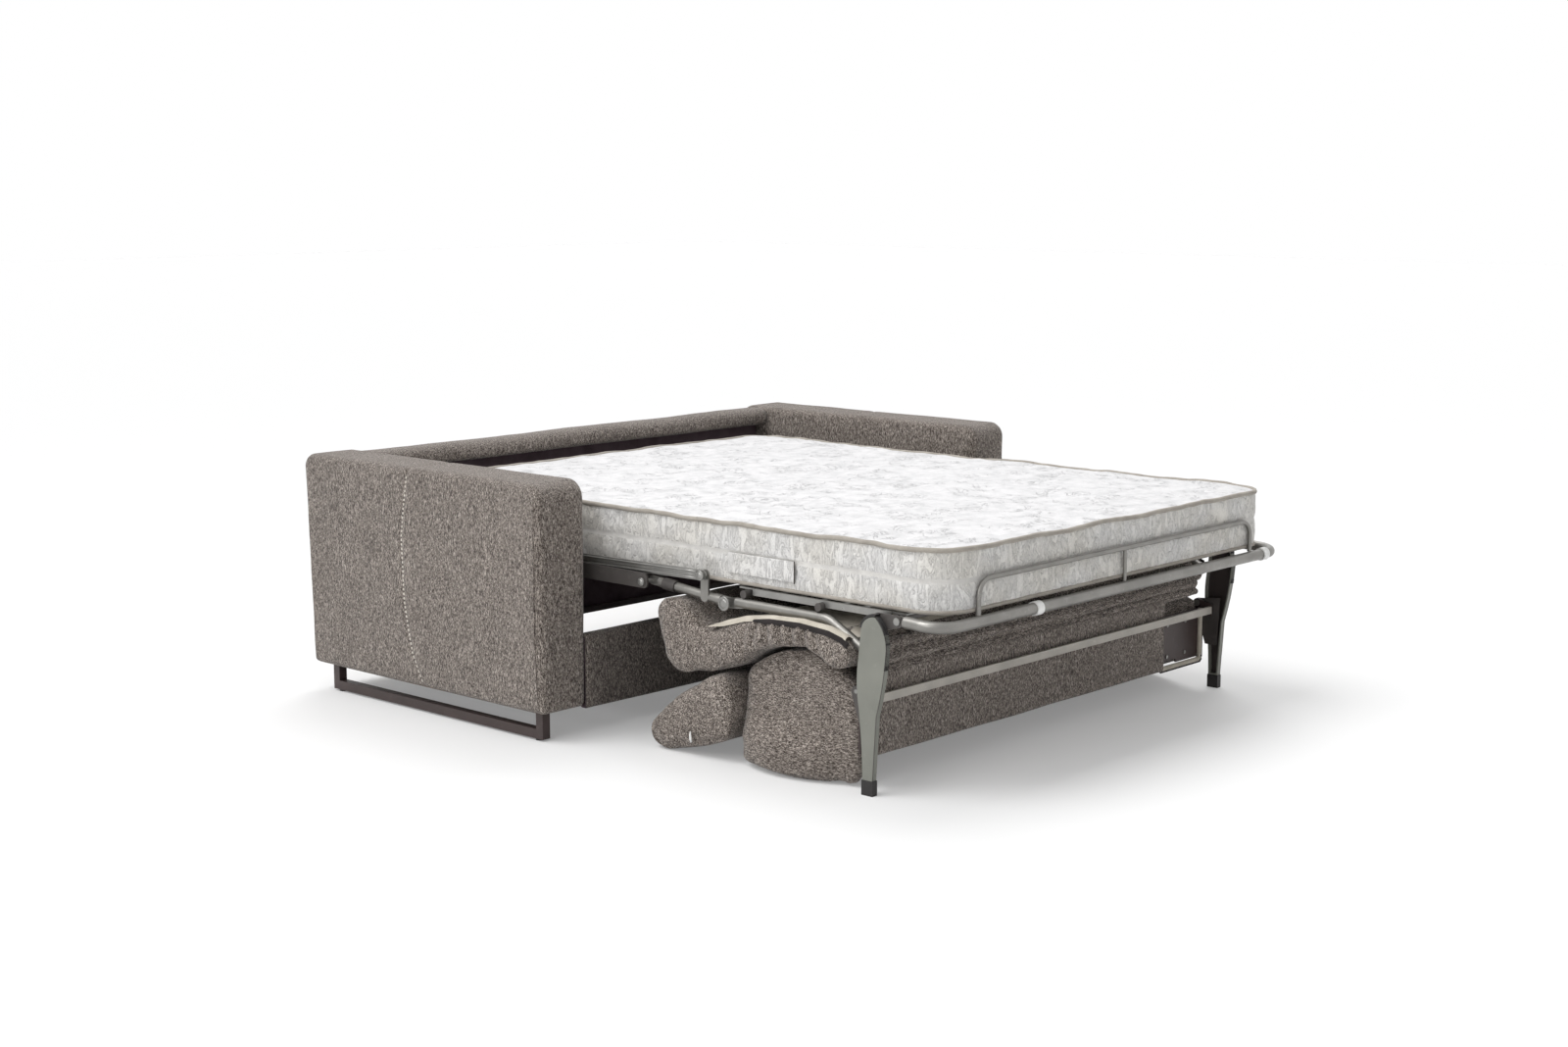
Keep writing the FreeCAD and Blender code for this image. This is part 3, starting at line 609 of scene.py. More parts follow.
def clockwise(outline):
    """The outline, turned if needed so that its normals point outwards."""
    y, z = outline[:, 0], outline[:, 1]
    area = (y * np.roll(z, -1) - z * np.roll(y, -1)).sum()
    return outline if area > 0 else outline[::-1]


def drawn_in(outline, inset):
    """The outline moved inwards by an inset."""
    along = np.roll(outline, -1, 0) - np.roll(outline, 1, 0)
    along /= np.linalg.norm(along, axis=1)[:, None]
    outward = np.stack([along[:, 1], -along[:, 0]], 1)
    return outline - outward * inset


def bolster(outline, x0, x1, edge, cell, swell, columns, groove=1.6, split=0):
    """Cushion: the outline carried along X, with round ends, a seam line and crowned end panels of
    so many columns. Returns points, faces, and the numbers of the seam points."""
    outline = np.roll(clockwise(outline), -split, 0)
    count = len(outline)
    stations = []
    for step in range(bolster_steps + 1):
        a = math.pi / 2 * step / bolster_steps
        notch = groove if step == seam_step else 0
        stations.append((edge * (1 - math.cos(a)), edge * (1 - math.sin(a)) + notch))
    length = x1 - x0
    middle = np.linspace(edge, length - edge, max(3, round((length - 2 * edge) / cell)) + 1)[1:-1]
    table = [(x0 + d, inset) for d, inset in stations]
    table += [(x0 + d, 0) for d in middle]
    table += [(x1 - d, inset) for d, inset in reversed(stations)]
    points = [(x, y, z) for x, inset in table for y, z in drawn_in(outline, inset)]
    faces = loop_faces(len(table), count)
    seam = [ring * count + k for ring in (seam_step, len(table) - 1 - seam_step) for k in range(count)]
    half = count // 2
    for last in (False, True):
        ring = (len(table) - 1) * count if last else 0
        edge_points = np.array(points[ring:ring + count])
        rows = []
        for i in range(1, half):
            a, b = edge_points[i], edge_points[count - i]
            row = [ring + i]
            for c in range(1, columns):
                t = c / columns
                p = a * (1 - t) + b * t
                fall = (4 * t * (1 - t)) ** 0.7 * (1 - abs(2 * i / half - 1) ** 4)
                p[0] += swell * fall * (1 if last else -1)
                row.append(len(points))
                points.append(tuple(p))
            row.append(ring + count - i)
            rows.append(row)
        cap = []
        for c in range(columns):
            cap.append((ring, rows[0][c], rows[0][c + 1]))
            cap.append((ring + half, rows[-1][c + 1], rows[-1][c]))
        for r, s in zip(rows, rows[1:]):
            for c in range(columns):
                cap.append((r[c], s[c], s[c + 1], r[c + 1]))
        faces.extend(face[::-1] if last else face for face in cap)
    return np.array(points, float), faces, seam


def fill(piece, seam, growth):
    """Fill a sewn cover: a short cloth simulation, its result kept in the mesh. The cloth grows by a
    share, and no point moves further than the cap."""
    turn_outwards(piece)
    rest = np.array([v.co for v in piece.data.vertices])
    group = piece.vertex_groups.new(name="seam")
    group.add([int(i) for i in seam], 1.0, "REPLACE")
    cloth = piece.modifiers.new("fill", "CLOTH")
    settings = cloth.settings
    settings.quality = 4
    settings.mass = 0.3
    settings.tension_stiffness = 18
    settings.compression_stiffness = 12
    settings.bending_stiffness = 0.4
    settings.use_pressure = True
    settings.uniform_pressure_force = 4.0
    settings.shrink_min = -growth
    settings.effector_weights.gravity = 0
    settings.vertex_group_mass = "seam"
    cloth.collision_settings.use_collision = False
    cloth.point_cache.frame_start = 1
    cloth.point_cache.frame_end = fill_frames
    scene = bpy.context.scene
    for number in range(1, fill_frames + 1):
        scene.frame_set(number)
    graph = bpy.context.evaluated_depsgraph_get()
    shaped = piece.evaluated_get(graph)
    moved = np.array([v.co for v in shaped.data.vertices]) - rest
    piece.modifiers.remove(cloth)
    piece.vertex_groups.clear()
    size = np.linalg.norm(moved, axis=1)
    size[size == 0] = 1
    moved *= np.minimum(1, fill_cap / size)[:, None]
    piece.data.vertices.foreach_set("co", (rest + moved).astype(np.float32).ravel())
    piece.data.update()
    scene.frame_set(1)


# Arms: each is its side outline carried across, with soft edges and a stitched valley
arm_outer, arm_inner = -960, -800
arm_bottom, arm_top = 75, 660
arm_start = (3, 88)
arm_steps = [
    (None, (-1, 614)),
    ((13, 648), (46, 661)),
    (None, (925, 661)),
    ((958, 650), (969, 622)),
    (None, (957, 88)),
    ((953, 79), (944, arm_bottom)),
    (None, (16, arm_bottom)),
    ((7, 79), arm_start),
]
split_height = 368  # the front panel of an arm is meshed from this height up and down
seam_heights = (arm_bottom, 86, 160, 302, 473, 634, arm_top)
seam_depths = (470, 478, 512, 536, 542, 517, 512)
stitch_pitch, stitch_length = 12.0, 7.2


def seam_y(z):
    """Where the valley with the stitches runs on the outer side of an arm."""
    return np.interp(z, seam_heights, seam_depths)


def make_arm():
    """One padded arm, with its valley pressed in and the soft waves of its cover."""
    outline = clockwise(arc_outline(arm_start, arm_steps, 600, 6))
    front = int(np.argmin(np.abs(outline[:, 1] - split_height) + outline[:, 0]))
    points, faces, _ = bolster(outline, arm_outer, arm_inner, 20, 12, 5, 60, groove=0, split=front)
    valley = np.exp(-((points[:, 1] - seam_y(points[:, 2])) / 7) ** 2)
    lean = (arm_top - points[:, 2]) / (arm_top - arm_bottom)
    outer = points[:, 0] < (arm_outer + arm_inner) / 2
    points[:, 0] += 6 * lean * outer
    points[:, 0] += 3.0 * valley * (points[:, 0] < arm_outer + 15)
    top_valley = np.exp(-((points[:, 1] - seam_depths[-1]) / 8) ** 2) * (points[:, 2] > arm_top - 20)
    points[:, 2] -= 2.4 * top_valley
    wave = drift(points, 190, 2.0) * 2.4 + drift(points, 60, 5.0) * 0.9
    points[:, 0] += wave * np.where(outer, -1, 1)
    points[:, 1] += drift(points, 120, 9.0) * 1.6
    points[:, 2] += drift(points, 150, 12.0) * 1.8 * (points[:, 2] > 300)
    return points, faces


def make_stitches(arm_side):
    """Saddle stitch down the outer side of an arm, which is given by its points."""
    stitches = []
    for z in np.arange(arm_bottom + 19, arm_top - 14, stitch_pitch):
        y = float(seam_y(z))
        slope = float(seam_y(z + 4) - seam_y(z - 4)) / 8
        near = np.argmin(np.abs(arm_side[:, 1] - y) + np.abs(arm_side[:, 2] - z))
        x = float(arm_side[near, 0]) - 0.8
        path = []
        for share, sunk in ((-0.5, 2), (-0.25, 0), (0.25, 0), (0.5, 2)):
            step = share * stitch_length
            path.append((x + sunk, y + slope * step, z + step))
        stitches.append(sweep_tube(path, (1.4, 2.1, 2.1, 1.4), 6))
    return joined(stitches)


arm = make_arm()
arms = add_pair("arm", arm, tweed_upright)
for piece, node in zip(arms, ("arm_cover_left", "arm_cover_right")):
    turn_outwards(piece)
    settle(piece, "sofa_base", node, padding=0.95)
arm_skin = arm[0][arm[0][:, 0] < arm_outer + 20]
for piece in add_pair("arm_stitches", make_stitches(arm_skin), thread):
    settle(piece, "sofa_base")


# Back: top roll, rear skin and the lining on the inner face
back_start = (955, 82)
back_steps = [
    (None, (955, 616)),
    ((944, 645), (916, 656)),
    (None, (882, 656)),
    ((857, 645), (850, 625)),
    ((856, 608), (874, 604)),
    (None, (936, 604)),
    (None, (936, 82)),
]
back_half = 799


def make_back():
    """Top roll and rear skin of the back, carried from arm to arm."""
    outline = clockwise(arc_outline(back_start, back_steps, 190, 7))
    count = len(outline)
    places = np.linspace(-back_half, back_half, 115)
    points = np.array([(x, y, z) for x in places for y, z in outline])
    faces = loop_faces(len(places), count)
    faces.append(tuple(range(count))[::-1])
    faces.append(tuple(range(len(points) - count, len(points))))
    high = np.clip((points[:, 2] - 590) / 30, 0, 1)
    sag = drift(points * (1, 0.2, 0.2), 240, 3.0)
    points[:, 2] += high * (sag * 2.6 + drift(points, 70, 6.0) * 0.9)
    points[:, 1] += high * drift(points, 160, 8.0) * 2.0 * (points[:, 1] < 930)
    points[:, 1] += (1 - high) * drift(points, 210, 4.0) * 1.6 * (points[:, 1] > 945)
    return points, faces


def make_lining():
    """Dark cloth stretched over the inner side of the back."""
    low, high = (-798.5, 899.6, 89), (798.5, 903.5, 604)
    tx = ticks(low[0], high[0], 3, 3, 26)
    tz = ticks(low[2], high[2], 3, 3, 20)
    points, faces = box_skin(tx, (low[1], high[1]), tz)
    front = points[:, 1] < (low[1] + high[1]) / 2
    wave = drift(points, 210, 7.0) * 2.0 + drift(points * (1, 1, 0.25), 46, 3.0) * 0.9
    points[:, 1] += front * (wave + 1.0)
    return points, faces


back_roll = add_piece("back_roll", make_back(), [tweed_upright])
turn_outwards(back_roll)
settle(back_roll, "sofa_base", "back_cover", padding=0.9)
back_lining = add_piece("inner_back_lining", make_lining(), [inner_cloth])
settle(back_lining, "sofa_base", "back_lining", padding=0.9)


def make_front_rail():
    """Padded rail between the arms, under the front of the seat."""
    low, high = (-799.5, 2, 68), (799.5, 34, 262)
    points, faces = soft_box(low, high, (1.5, 11, 8), (1.5, 11, 11), (18, 6, 14))
    points = crown(points, low, high, (0, 4.0, 2.0))
    points[:, 1] += drift(points, 150, 4.0) * 2.0 + drift(points, 45, 2.0) * 0.7
    points[:, 2] += drift(points * (1, 0, 0), 260, 3.0) * 1.8 * (points[:, 2] > 200)
    return points, faces


# The rail's tweed carries painted shade.
front_rail = add_piece("front_rail", make_front_rail(), [tweed_rail_painted_shade])
settle(front_rail, "sofa_base", "front_rail_cover", padding=0.9)


# Mattress: quilted top, puckered border with a tape, piping on both edges, plain underside
bed_head, bed_foot, bed_half, bed_corner = 806.0, -1073.0, 700.0, 95.0
quilt_level, base_level = 580.0, 436.0
middle_rear, middle_front = 200.0, -300.0
head_joint, fold_joint, seat_joint = 585.0, -165.0, -430.0
quilt_cell, base_cell, border_cell = 10.0, 30, 8.0
quilt_kind, border_kind, piping_kind, tape_kind = range(4)


def half_width_at(y):
    """Half the width of the mattress, less where its corners are round."""
    d = np.clip(np.minimum(y - bed_foot, bed_head - y), 0, bed_corner)
    return bed_half - bed_corner + np.sqrt(np.maximum(0, bed_corner ** 2 - (bed_corner - d) ** 2))


def edge_wave(points):
    """How far the soft edge of the mattress wanders up and down."""
    return drift(points * (1, 1, 0), 210, 31.0) * 5.0 + drift(points * (1, 1, 0), 62, 11.0) * 3.0


def quilt_height(x, y):
    """Puffs between the quilting lines of the top."""
    out = np.zeros(len(x))
    for i, (a, b) in enumerate(zip(x, y)):
        warp = noise.noise_vector(Vector((a / 90, b / 90, 3.1)))
        place = Vector((a / 82 + warp.x * 0.75, b / 82 + warp.y * 0.75, 0.0))
        near = noise.voronoi(place)[0]
        gap = near[1] - near[0]
        depth = 0.55 + 0.45 * noise.noise(Vector((a / 160, b / 160, 9.0)))
        puff = 1 - math.exp(-(gap / 0.16) ** 1.3)
        tuft = math.exp(-(near[0] / 0.16) ** 2)
        fine = noise.noise(Vector((a / 24, b / 24, 5.0)))
        out[i] = 6.4 * depth * puff - 2.6 * tuft + 0.9 * fine
    return out


def spread(low, high, cell, tight=0):
    """Rows from low to high, closer together towards a rounded end: -1 low end, 1 high end."""
    if not tight:
        return np.linspace(low, high, max(2, round((high - low) / cell)) + 1)
    curve = bed_corner * (1 - np.cos(np.linspace(0, math.pi / 2, 14)))
    if tight < 0:
        rest = np.linspace(low + bed_corner, high, max(2, round((high - low - bed_corner) / cell)) + 1)
        return np.concatenate([low + curve[:-1], rest])
    rest = np.linspace(low, high - bed_corner, max(2, round((high - low - bed_corner) / cell)) + 1)
    return np.concatenate([rest, (high - curve[:-1])[::-1]])


def top_sheet(low, high, tight):
    """Quilted top of one piece of the mattress, rising from its edge."""
    rows = spread(low, high, quilt_cell, tight)
    fine = (np.sin(np.linspace(-math.pi / 2, math.pi / 2, 9))[:4] + 1) * 0.02
    inner = np.linspace(-1, 1, round(2 * bed_half / quilt_cell))
    across = np.unique(np.concatenate([inner, -1 + fine, 1 - fine]))
    x = (half_width_at(rows)[:, None] * across[None, :]).ravel()
    y = np.repeat(rows, len(across))
    side = half_width_at(y) - np.abs(x)
    end = np.minimum(y - bed_foot, bed_head - y)
    inside = np.clip(np.minimum(side, end) / 34, 0, 1)
    points = np.stack([x, y, np.full(len(x), quilt_level)], 1)
    rise = 1 - (1 - inside) ** 2
    points[:, 2] += edge_wave(points) * (1 - 0.5 * rise) + (quilt_height(x, y) - 1.0) * rise + 3.0 * rise
    return points, grid_faces(len(rows), len(across))


def base_sheet(low, high, tight):
    """Plain underside of one piece of the mattress."""
    rows = spread(low, high, base_cell, tight)
    across = np.linspace(-1, 1, 47)
    x = (half_width_at(rows)[:, None] * across[None, :]).ravel()
    y = np.repeat(rows, len(across))
    points = np.stack([x, y, np.full(len(x), base_level)], 1)
    points[:, 2] -= 3.4 - drift(points, 60, 2.0) * 1.2
    return points, grid_faces(len(rows), len(across), True)


def edge_paths(low, high, tight):
    """The rim of one mattress piece, seen from above, as lists of (x, y)."""
    step = border_cell
    if not tight:
        rows = spread(low, high, step)
        return [[(-bed_half, y) for y in rows[::-1]], [(bed_half, y) for y in rows]]
    end = bed_foot if tight < 0 else bed_head
    start = high if tight < 0 else low
    turn_y = end - tight * bed_corner
    straight = np.linspace(start, turn_y, max(2, round(abs(start - turn_y) / step)) + 1)
    angles = np.linspace(0, math.pi / 2, round(bed_corner * math.pi / 2 / step) + 1)
    inner = bed_half - bed_corner
    left = [(-bed_half, y) for y in straight[:-1]]
    for a in angles:
        left.append((-inner - bed_corner * math.cos(a), turn_y + tight * bed_corner * math.sin(a)))
    right = [(-x, y) for x, y in left[::-1]]
    flat = [(x, end) for x in np.linspace(-inner, inner, round(2 * inner / step) + 1)[1:-1]]
    return [left + flat + right]


def outwards_from(path):
    """Unit vectors from a rim of the mattress away from its middle."""
    along = directions(path)
    outward = np.stack([along[:, 1], -along[:, 0]], 1)
    return outward if outward[0][0] * path[0][0] >= 0 else -outward


def border(path):
    """Puckered side of the mattress, with the tape round its middle."""
    levels = np.concatenate([np.linspace(0, 0.44, 11), [0.46, 0.5, 0.54], np.linspace(0.56, 1, 11)])
    points = []
    for (x, y), n in zip(path, outwards_from(path)):
        wave = edge_wave(np.array([[x, y, 0.0]]))[0]
        for t in levels:
            z = base_level + (quilt_level - base_level) * t
            half_t = (t * 2) % 1 if 0 < t < 1 else 0
            belly = abs(math.sin(math.pi * half_t)) ** 0.55
            taped = math.exp(-((t - 0.5) / 0.045) ** 2)
            wander = 0.35 * noise.noise(Vector((x / 60, y / 60, t * 3.0)))
            below = 4.0 if t > 0.5 else 0
            fold = noise.noise(Vector((x / 27 + wander, y / 27, t * 1.15 + below)))
            crease = math.exp(-(fold / 0.085) ** 2)
            soft = noise.noise(Vector((x / 55, y / 55, z / 38)))
            push = (3.8 + 2.2 * soft) * belly - 4.6 * crease * belly + 0.6 - 0.5 * taped
            points.append((x + n[0] * push, y + n[1] * push, z + wave * t * t))
    middles = (levels[1:] + levels[:-1]) / 2
    kinds = [tape_kind if abs(middle - 0.5) < 0.045 else border_kind for middle in middles]
    return np.array(points), grid_faces(len(path), len(levels)), kinds * (len(path) - 1)


def piping(path, level, radius, lifted):
    """Piping along a rim of the mattress. Only the upper one wanders with the soft edge."""
    line = np.column_stack([path + outwards_from(path) * 1.4, np.full(len(path), level)])
    if lifted:
        line[:, 2] += edge_wave(line)
    thick = radius * (1 + 0.12 * drift(line, 26, 3.0))
    return sweep_tube(line, thick, 8)


def of_kind(shape, kind):
    """A shape whose faces are all of one kind."""
    return (*shape, [kind] * len(shape[1]))


def make_mattress(low, high, tight):
    """One piece of the mattress, rounded at its low end (-1), its high end (1) or at neither (0)."""
    parts = [of_kind(top_sheet(low, high, tight), quilt_kind)]
    parts.append(of_kind(base_sheet(low, high, tight), border_kind))
    for path in edge_paths(low, high, tight):
        path = np.array(path, float)
        parts.append(border(path))
        parts.append(of_kind(piping(path, quilt_level - 0.5, 6.0, True), piping_kind))
        parts.append(of_kind(piping(path, base_level + 1.5, 5.0, False), piping_kind))
    return joined(parts)


def frame_y(y):
    """A place on the middle line of the sofa, in metres."""
    return (0, float(metres((0, y, 0))[1]), 0)


ticking = [quilt_white, quilt_border, piping_cloth, tape_cloth]
shape = make_mattress(middle_rear, bed_head, 1)
bed_head_end = add_piece("mattress_head_end", shape, ticking)
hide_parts("mattress_top_head", "mattress_core_head")
frame_y(head_joint + 60)
frame_y(head_joint - 90)
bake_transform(bed_head_end)
shape = make_mattress(middle_front, middle_rear, 0)
bed_middle = add_piece("mattress_middle", shape, ticking)
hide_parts("mattress_top_middle", "mattress_core_middle", "mattress_top_fold")
frame_y(fold_joint + 70)
frame_y(fold_joint - 80)
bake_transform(bed_middle)
shape = make_mattress(bed_foot, middle_front, -1)
bed_foot_end = add_piece("mattress_foot_end", shape, ticking)
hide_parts("mattress_top_foot", "mattress_core_foot")
frame_y(seat_joint + 65)
frame_y(seat_joint - 15)
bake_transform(bed_foot_end)


def make_handle_patch():
    """Patch on the left side of the mattress, quilted like the border."""
    edge = (2, 4, 4)
    points, faces = soft_box((-709.5, -625, 459), (-704.5, -407, 510), edge, edge, (2, 6, 6))
    points[:, 0] -= 1.6 * np.abs(drift(points, 17, 5.0)) * (points[:, 0] < -707)
    return points, faces


patch = add_piece("mattress_handle_patch", make_handle_patch(), [quilt_border])
settle(patch, "seat_section", padding=0.7)
# A dark line along the patch's front seam: painted shadow in the seam.
patch_seam = [(-710, -626, z) for z in np.linspace(457, 512, 9)]
patch_shadow_line = add_piece("mattress_patch_shadow_line", sweep_tube(patch_seam, 1.4, 6), [painted_seam_shadow])
settle(patch_shadow_line, "seat_section")

# Cushions, as they lie under the open bed
cushion_inner = -3  # inner end of each left cushion, beside its right twin
fill_growth_seat, fill_growth_back = 0.02, 0.015
seat_start = (-216, 330)
seat_steps = [
    ((-222, 371), (-258, 384)),
    ((-304, 378), (-338, 348)),
    ((-384, 324), (-432, 338)),
    ((-512, 362), (-596, 375)),
    ((-690, 379), (-780, 372)),
    ((-822, 362), (-838, 350)),
    ((-845, 320), (-836, 298)),
    ((-800, 287), (-764, 295)),
    ((-706, 318), (-646, 315)),
    ((-572, 300), (-500, 258)),
    ((-420, 226), (-331, 212)),
    ((-272, 210), (-244, 240)),
]
back_cushion_start = (-492, 16)
back_cushion_steps = [
    ((-482, 110), (-490, 196)),
    ((-493, 226), (-508, 246)),
    ((-590, 288), (-668, 303)),
    ((-722, 304), (-772, 272)),
    ((-812, 252), (-841, 242)),
    ((-846, 140), (-842, 46)),
    ((-830, 16), (-792, 10)),
    ((-650, 5), (-510, 10)),
]
headrest_start = (-430, 217)
headrest_steps = [
    ((-398, 206), (-352, 178)),
    ((-270, 128), (-206, 72)),
    ((-197, 46), (-222, 10)),
    ((-246, 4), (-276, 8)),
    ((-370, 30), (-460, 62)),
    ((-471, 78), (-473, 108)),
    ((-474, 160), (-469, 196)),
    ((-458, 216), (-434, 217)),
]


def make_seat_cushion():
    """Seat cushion, upside down under the open bed, with gathers at its outer end."""
    outline = drawn_in(clockwise(arc_outline(seat_start, seat_steps, 300, 8)), 1.5)
    points, faces, seam = bolster(outline, -765, cushion_inner, 12, 12, swell=4, columns=22)
    y, z = points[:, 1], points[:, 2]
    gather = np.exp(-((y + 650) / 130) ** 4) * np.clip((z - 262) / 50, 0, 1)
    phase = y / 12.5 + 1.5 * drift(points * (0, 1, 1), 55, 4.0)
    slack = 1 - np.abs(np.sin(phase)) ** 0.9
    near = points[:, 0] < -742
    points[:, 0] += near * gather * (12 * slack - 5.0)
    lap = np.exp(-((points[:, 0] + 750) / 45) ** 2) * gather
    points[:, 2] -= lap * 5.0 * slack * (~near)
    points[:, 2] += drift(points, 95, 3.0) * 2.0
    points[:, 1] += drift(points, 110, 8.0) * 1.6
    return points, faces, seam


tuck_edge, tuck_low, tuck_slope = -649, 7, 0.412
far_end, far_blend = 600, 60  # where the far end starts to be tucked up, and over what length


def tuck_height(y):
    """Lower side of the back cushions where they are tucked up behind the fabric panel."""
    return tuck_low + (tuck_edge - y) * tuck_slope


def make_back_cushion():
    """Back cushion. It bulges under the bed leg at its outer end and is tucked up further in."""
    outline = arc_outline(back_cushion_start, back_cushion_steps, 200, 8)
    outline = drawn_in(clockwise(outline), 0.5)
    points, faces, seam = bolster(outline, -730, cushion_inner, 14, 13, swell=3, columns=18)
    tucked = points[:, 1] < tuck_edge
    line = tuck_height(points[:, 1])
    low = np.clip((line - points[:, 2]) / 40, 0, 1) * tucked
    inner = np.clip((points[:, 0] + 700) / 50, 0, 1)
    inner = inner * inner * (3 - 2 * inner)
    raised = np.maximum(points[:, 2], line) + 6 * low
    points[:, 2] += (raised - points[:, 2]) * inner * tucked
    level = np.sin(points[:, 2] / 10.5 + 1.6 * drift(points * (1, 1, 0.4), 90, 4.0))
    bulge = np.clip(1 - ((points[:, 1] + 625) / 175) ** 2, 0, 1)
    bulge *= np.clip((136 - points[:, 2]) / 60, 0, 1)
    points[:, 0] -= 48 * bulge * np.clip((-640 - points[:, 0]) / 90, 0, 1)
    band = np.clip((250 - points[:, 2]) / 70, 0, 1) * np.clip((points[:, 2] - 20) / 50, 0, 1)
    near = points[:, 0] < -705
    points[:, 0] -= near * band * 0.9 * level
    points[:, 1] += (~near) * band * drift(points, 80, 2.0) * 2.2
    return points, faces, seam


def tuck_far_end(piece):
    """At its far end the right back cushion is drawn up behind the end plate too."""
    for vertex in piece.data.vertices:
        y = (vertex.co.y - arm_front) * 1000
        line = tuck_height(y)
        share = min(1, max(0, (vertex.co.x * 1000 - far_end) / far_blend))
        if y < tuck_edge and vertex.co.z * 1000 < line:
            vertex.co.z += (line / 1000 - vertex.co.z) * share
    piece.data.update()


def make_headrest():
    """Headrest cushion, hanging down behind the back cushion."""
    outline = drawn_in(clockwise(arc_outline(headrest_start, headrest_steps, 180, 6)), 1.0)
    points, faces, seam = bolster(outline, -775, cushion_inner, 11, 13, swell=4, columns=16)
    points[:, 2] += drift(points, 120, 2.0) * 2.2
    points[:, 0] += drift(points, 70, 6.0) * 0.8 * (points[:, 0] < -750)
    return points, faces, seam


for label, maker, body, tweed, growth in (
    ("seat_cushion", make_seat_cushion, "seat_section", tweed_seat, fill_growth_seat),
    ("back_cushion", make_back_cushion, "backrest", tweed_level, fill_growth_back),
    ("headrest", make_headrest, "headrest", tweed_slant, fill_growth_back),
):
    points, faces, seam = maker()
    left = add_piece("left_" + label, (points, faces), [tweed])
    fill(left, seam, growth)
    right = mirror_piece(left, "right_" + label)
    if label == "back_cushion":
        tuck_far_end(right)
    settle(left, body, label + "_left", padding=0.85)
    settle(right, body, label + "_right", padding=0.85)

# Base cloth of the seat cushions and its black tape, on the side that lies up while the bed is open
seat_top_y = (-838, -822, -780, -690, -596, -512, -432, -384)
seat_top_z = (352, 363, 374, 380.5, 377, 364, 340, 327.5)
rim_x = (-764, -763, -759, -752, -745, -740, -734)
rim_lift = (-5, 2, 7, 8.5, 7, 4, 2.2)


def seat_top(y):
    """Height of the base cloth on the turned seat cushion."""
    return float(np.interp(y, seat_top_y, seat_top_z))


def make_base_cloth():
    """Cream cloth over the base of a seat cushion. It rises over the cushion's rim."""
    rows = np.linspace(-832, -392, 56)
    across = list(rim_x[:-1]) + list(np.linspace(rim_x[-1], -12, 60))
    points = []
    for y in rows:
        fade = min(1, (-385 - y) / 60)
        for x in across:
            lift = float(np.interp(x, rim_x, rim_lift)) - rim_lift[-1]
            points.append((x, y, seat_top(y) + rim_lift[-1] + lift * fade))
    points = np.array(points)
    points[:, 2] += drift(points, 60, 4.0) * 0.8
    return points, grid_faces(len(rows), len(across))


def make_edge_tape():
    """Black tape sewn along the outer edge of the base cloth."""
    rows = np.linspace(-842, -545, 60)
    points = []
    for y in rows:
        width = 1 + 8 * min(1, (-545 - y) / 40)
        for dx, dz in ((0, 1), (-4, -1), (-6, -1 - width * 0.5), (-6.5, -1 - width)):
            points.append((-761 + dx, y, seat_top(y) - 2 + dz))
    return np.array(points, float), grid_faces(len(rows), 4)


base_cloths = add_pair("cushion_base_cloth", make_base_cloth(), cream_cloth)
for piece, node in zip(base_cloths, ("seat_cushion_left", "seat_cushion_right")):
    settle(piece, "seat_section")
for piece in add_pair("cushion_edge_tape", make_edge_tape(), black_tape):
    piece.modifiers.new("cloth", "SOLIDIFY").thickness = 0.002
    settle(piece, "seat_section")

# Zip pull at the lower seam of the left headrest
pull_path = [(-786, -352, 66), (-789, -354, 58), (-790, -356, 50), (-789, -357, 40)]
pull = sweep_tube(pull_path, (1.6, 2.6, 3.4, 2.6), 8)
settle(add_piece("headrest_zip_pull", pull, [white_plastic]), "headrest")


# Backrest: fabric panel of its underside, slack cover, and the cloth round the end plate
def make_fabric_panel():
    """Fabric panel under the backrest, which stands upright at the foot of the open bed."""
    low, high, edge = (-700, -876, 78), (520, -858, 278), (8, 8, 9)
    points, faces = soft_box(low, high, edge, edge, (14, 4, 12))
    wave = 1.2 + drift(points, 140, 4.0) * 1.8 + drift(points * (1, 1, 0.3), 34, 7.0) * 0.8
    points[:, 1] -= (points[:, 1] < low[1] + 10) * wave
    points[:, 2] += drift(points * (1, 0, 0), 180, 5.0) * 2.0
    return points, faces


def make_slack_cover():
    """Slack cover between the fabric panel and the seat cushion, in long level folds."""
    rows = (
        (-868, 268), (-874, 276), (-870, 284), (-860, 289), (-867, 296), (-872, 304),
        (-866, 312), (-856, 317), (-861, 325), (-864, 334), (-857, 342), (-846, 346),
    )
    places = np.linspace(-716, 690, 160)
    points = []
    for x in places:
        for k, (y, z) in enumerate(rows):
            sag = noise.noise(Vector((x / 210, k * 0.35, 2.0)))
            tight = noise.noise(Vector((x / 60, k * 0.7, 8.0)))
            points.append((x, y + 4 * tight + 2, z + 7 * sag + 2.5 * tight))
    return np.array(points, float), grid_faces(len(places), len(rows))


def plate_edge(inset, radius, depth):
    """Roll of cloth or piping round three sides of the end plate, an inset further out."""
    x0, x1 = 536 - inset, 721 + inset
    z0, z1 = 86 - inset, 222 + inset
    corners = [(x0, z1), (x0, z0), (x1, z0), (x1, z1)]
    path = []
    for (ax, az), (bx, bz) in zip(corners, corners[1:]):
        path += [(ax + (bx - ax) * t, depth, az + (bz - az) * t) for t in np.linspace(0.04, 0.96, 24)]
    return sweep_tube(path, radius, 8)


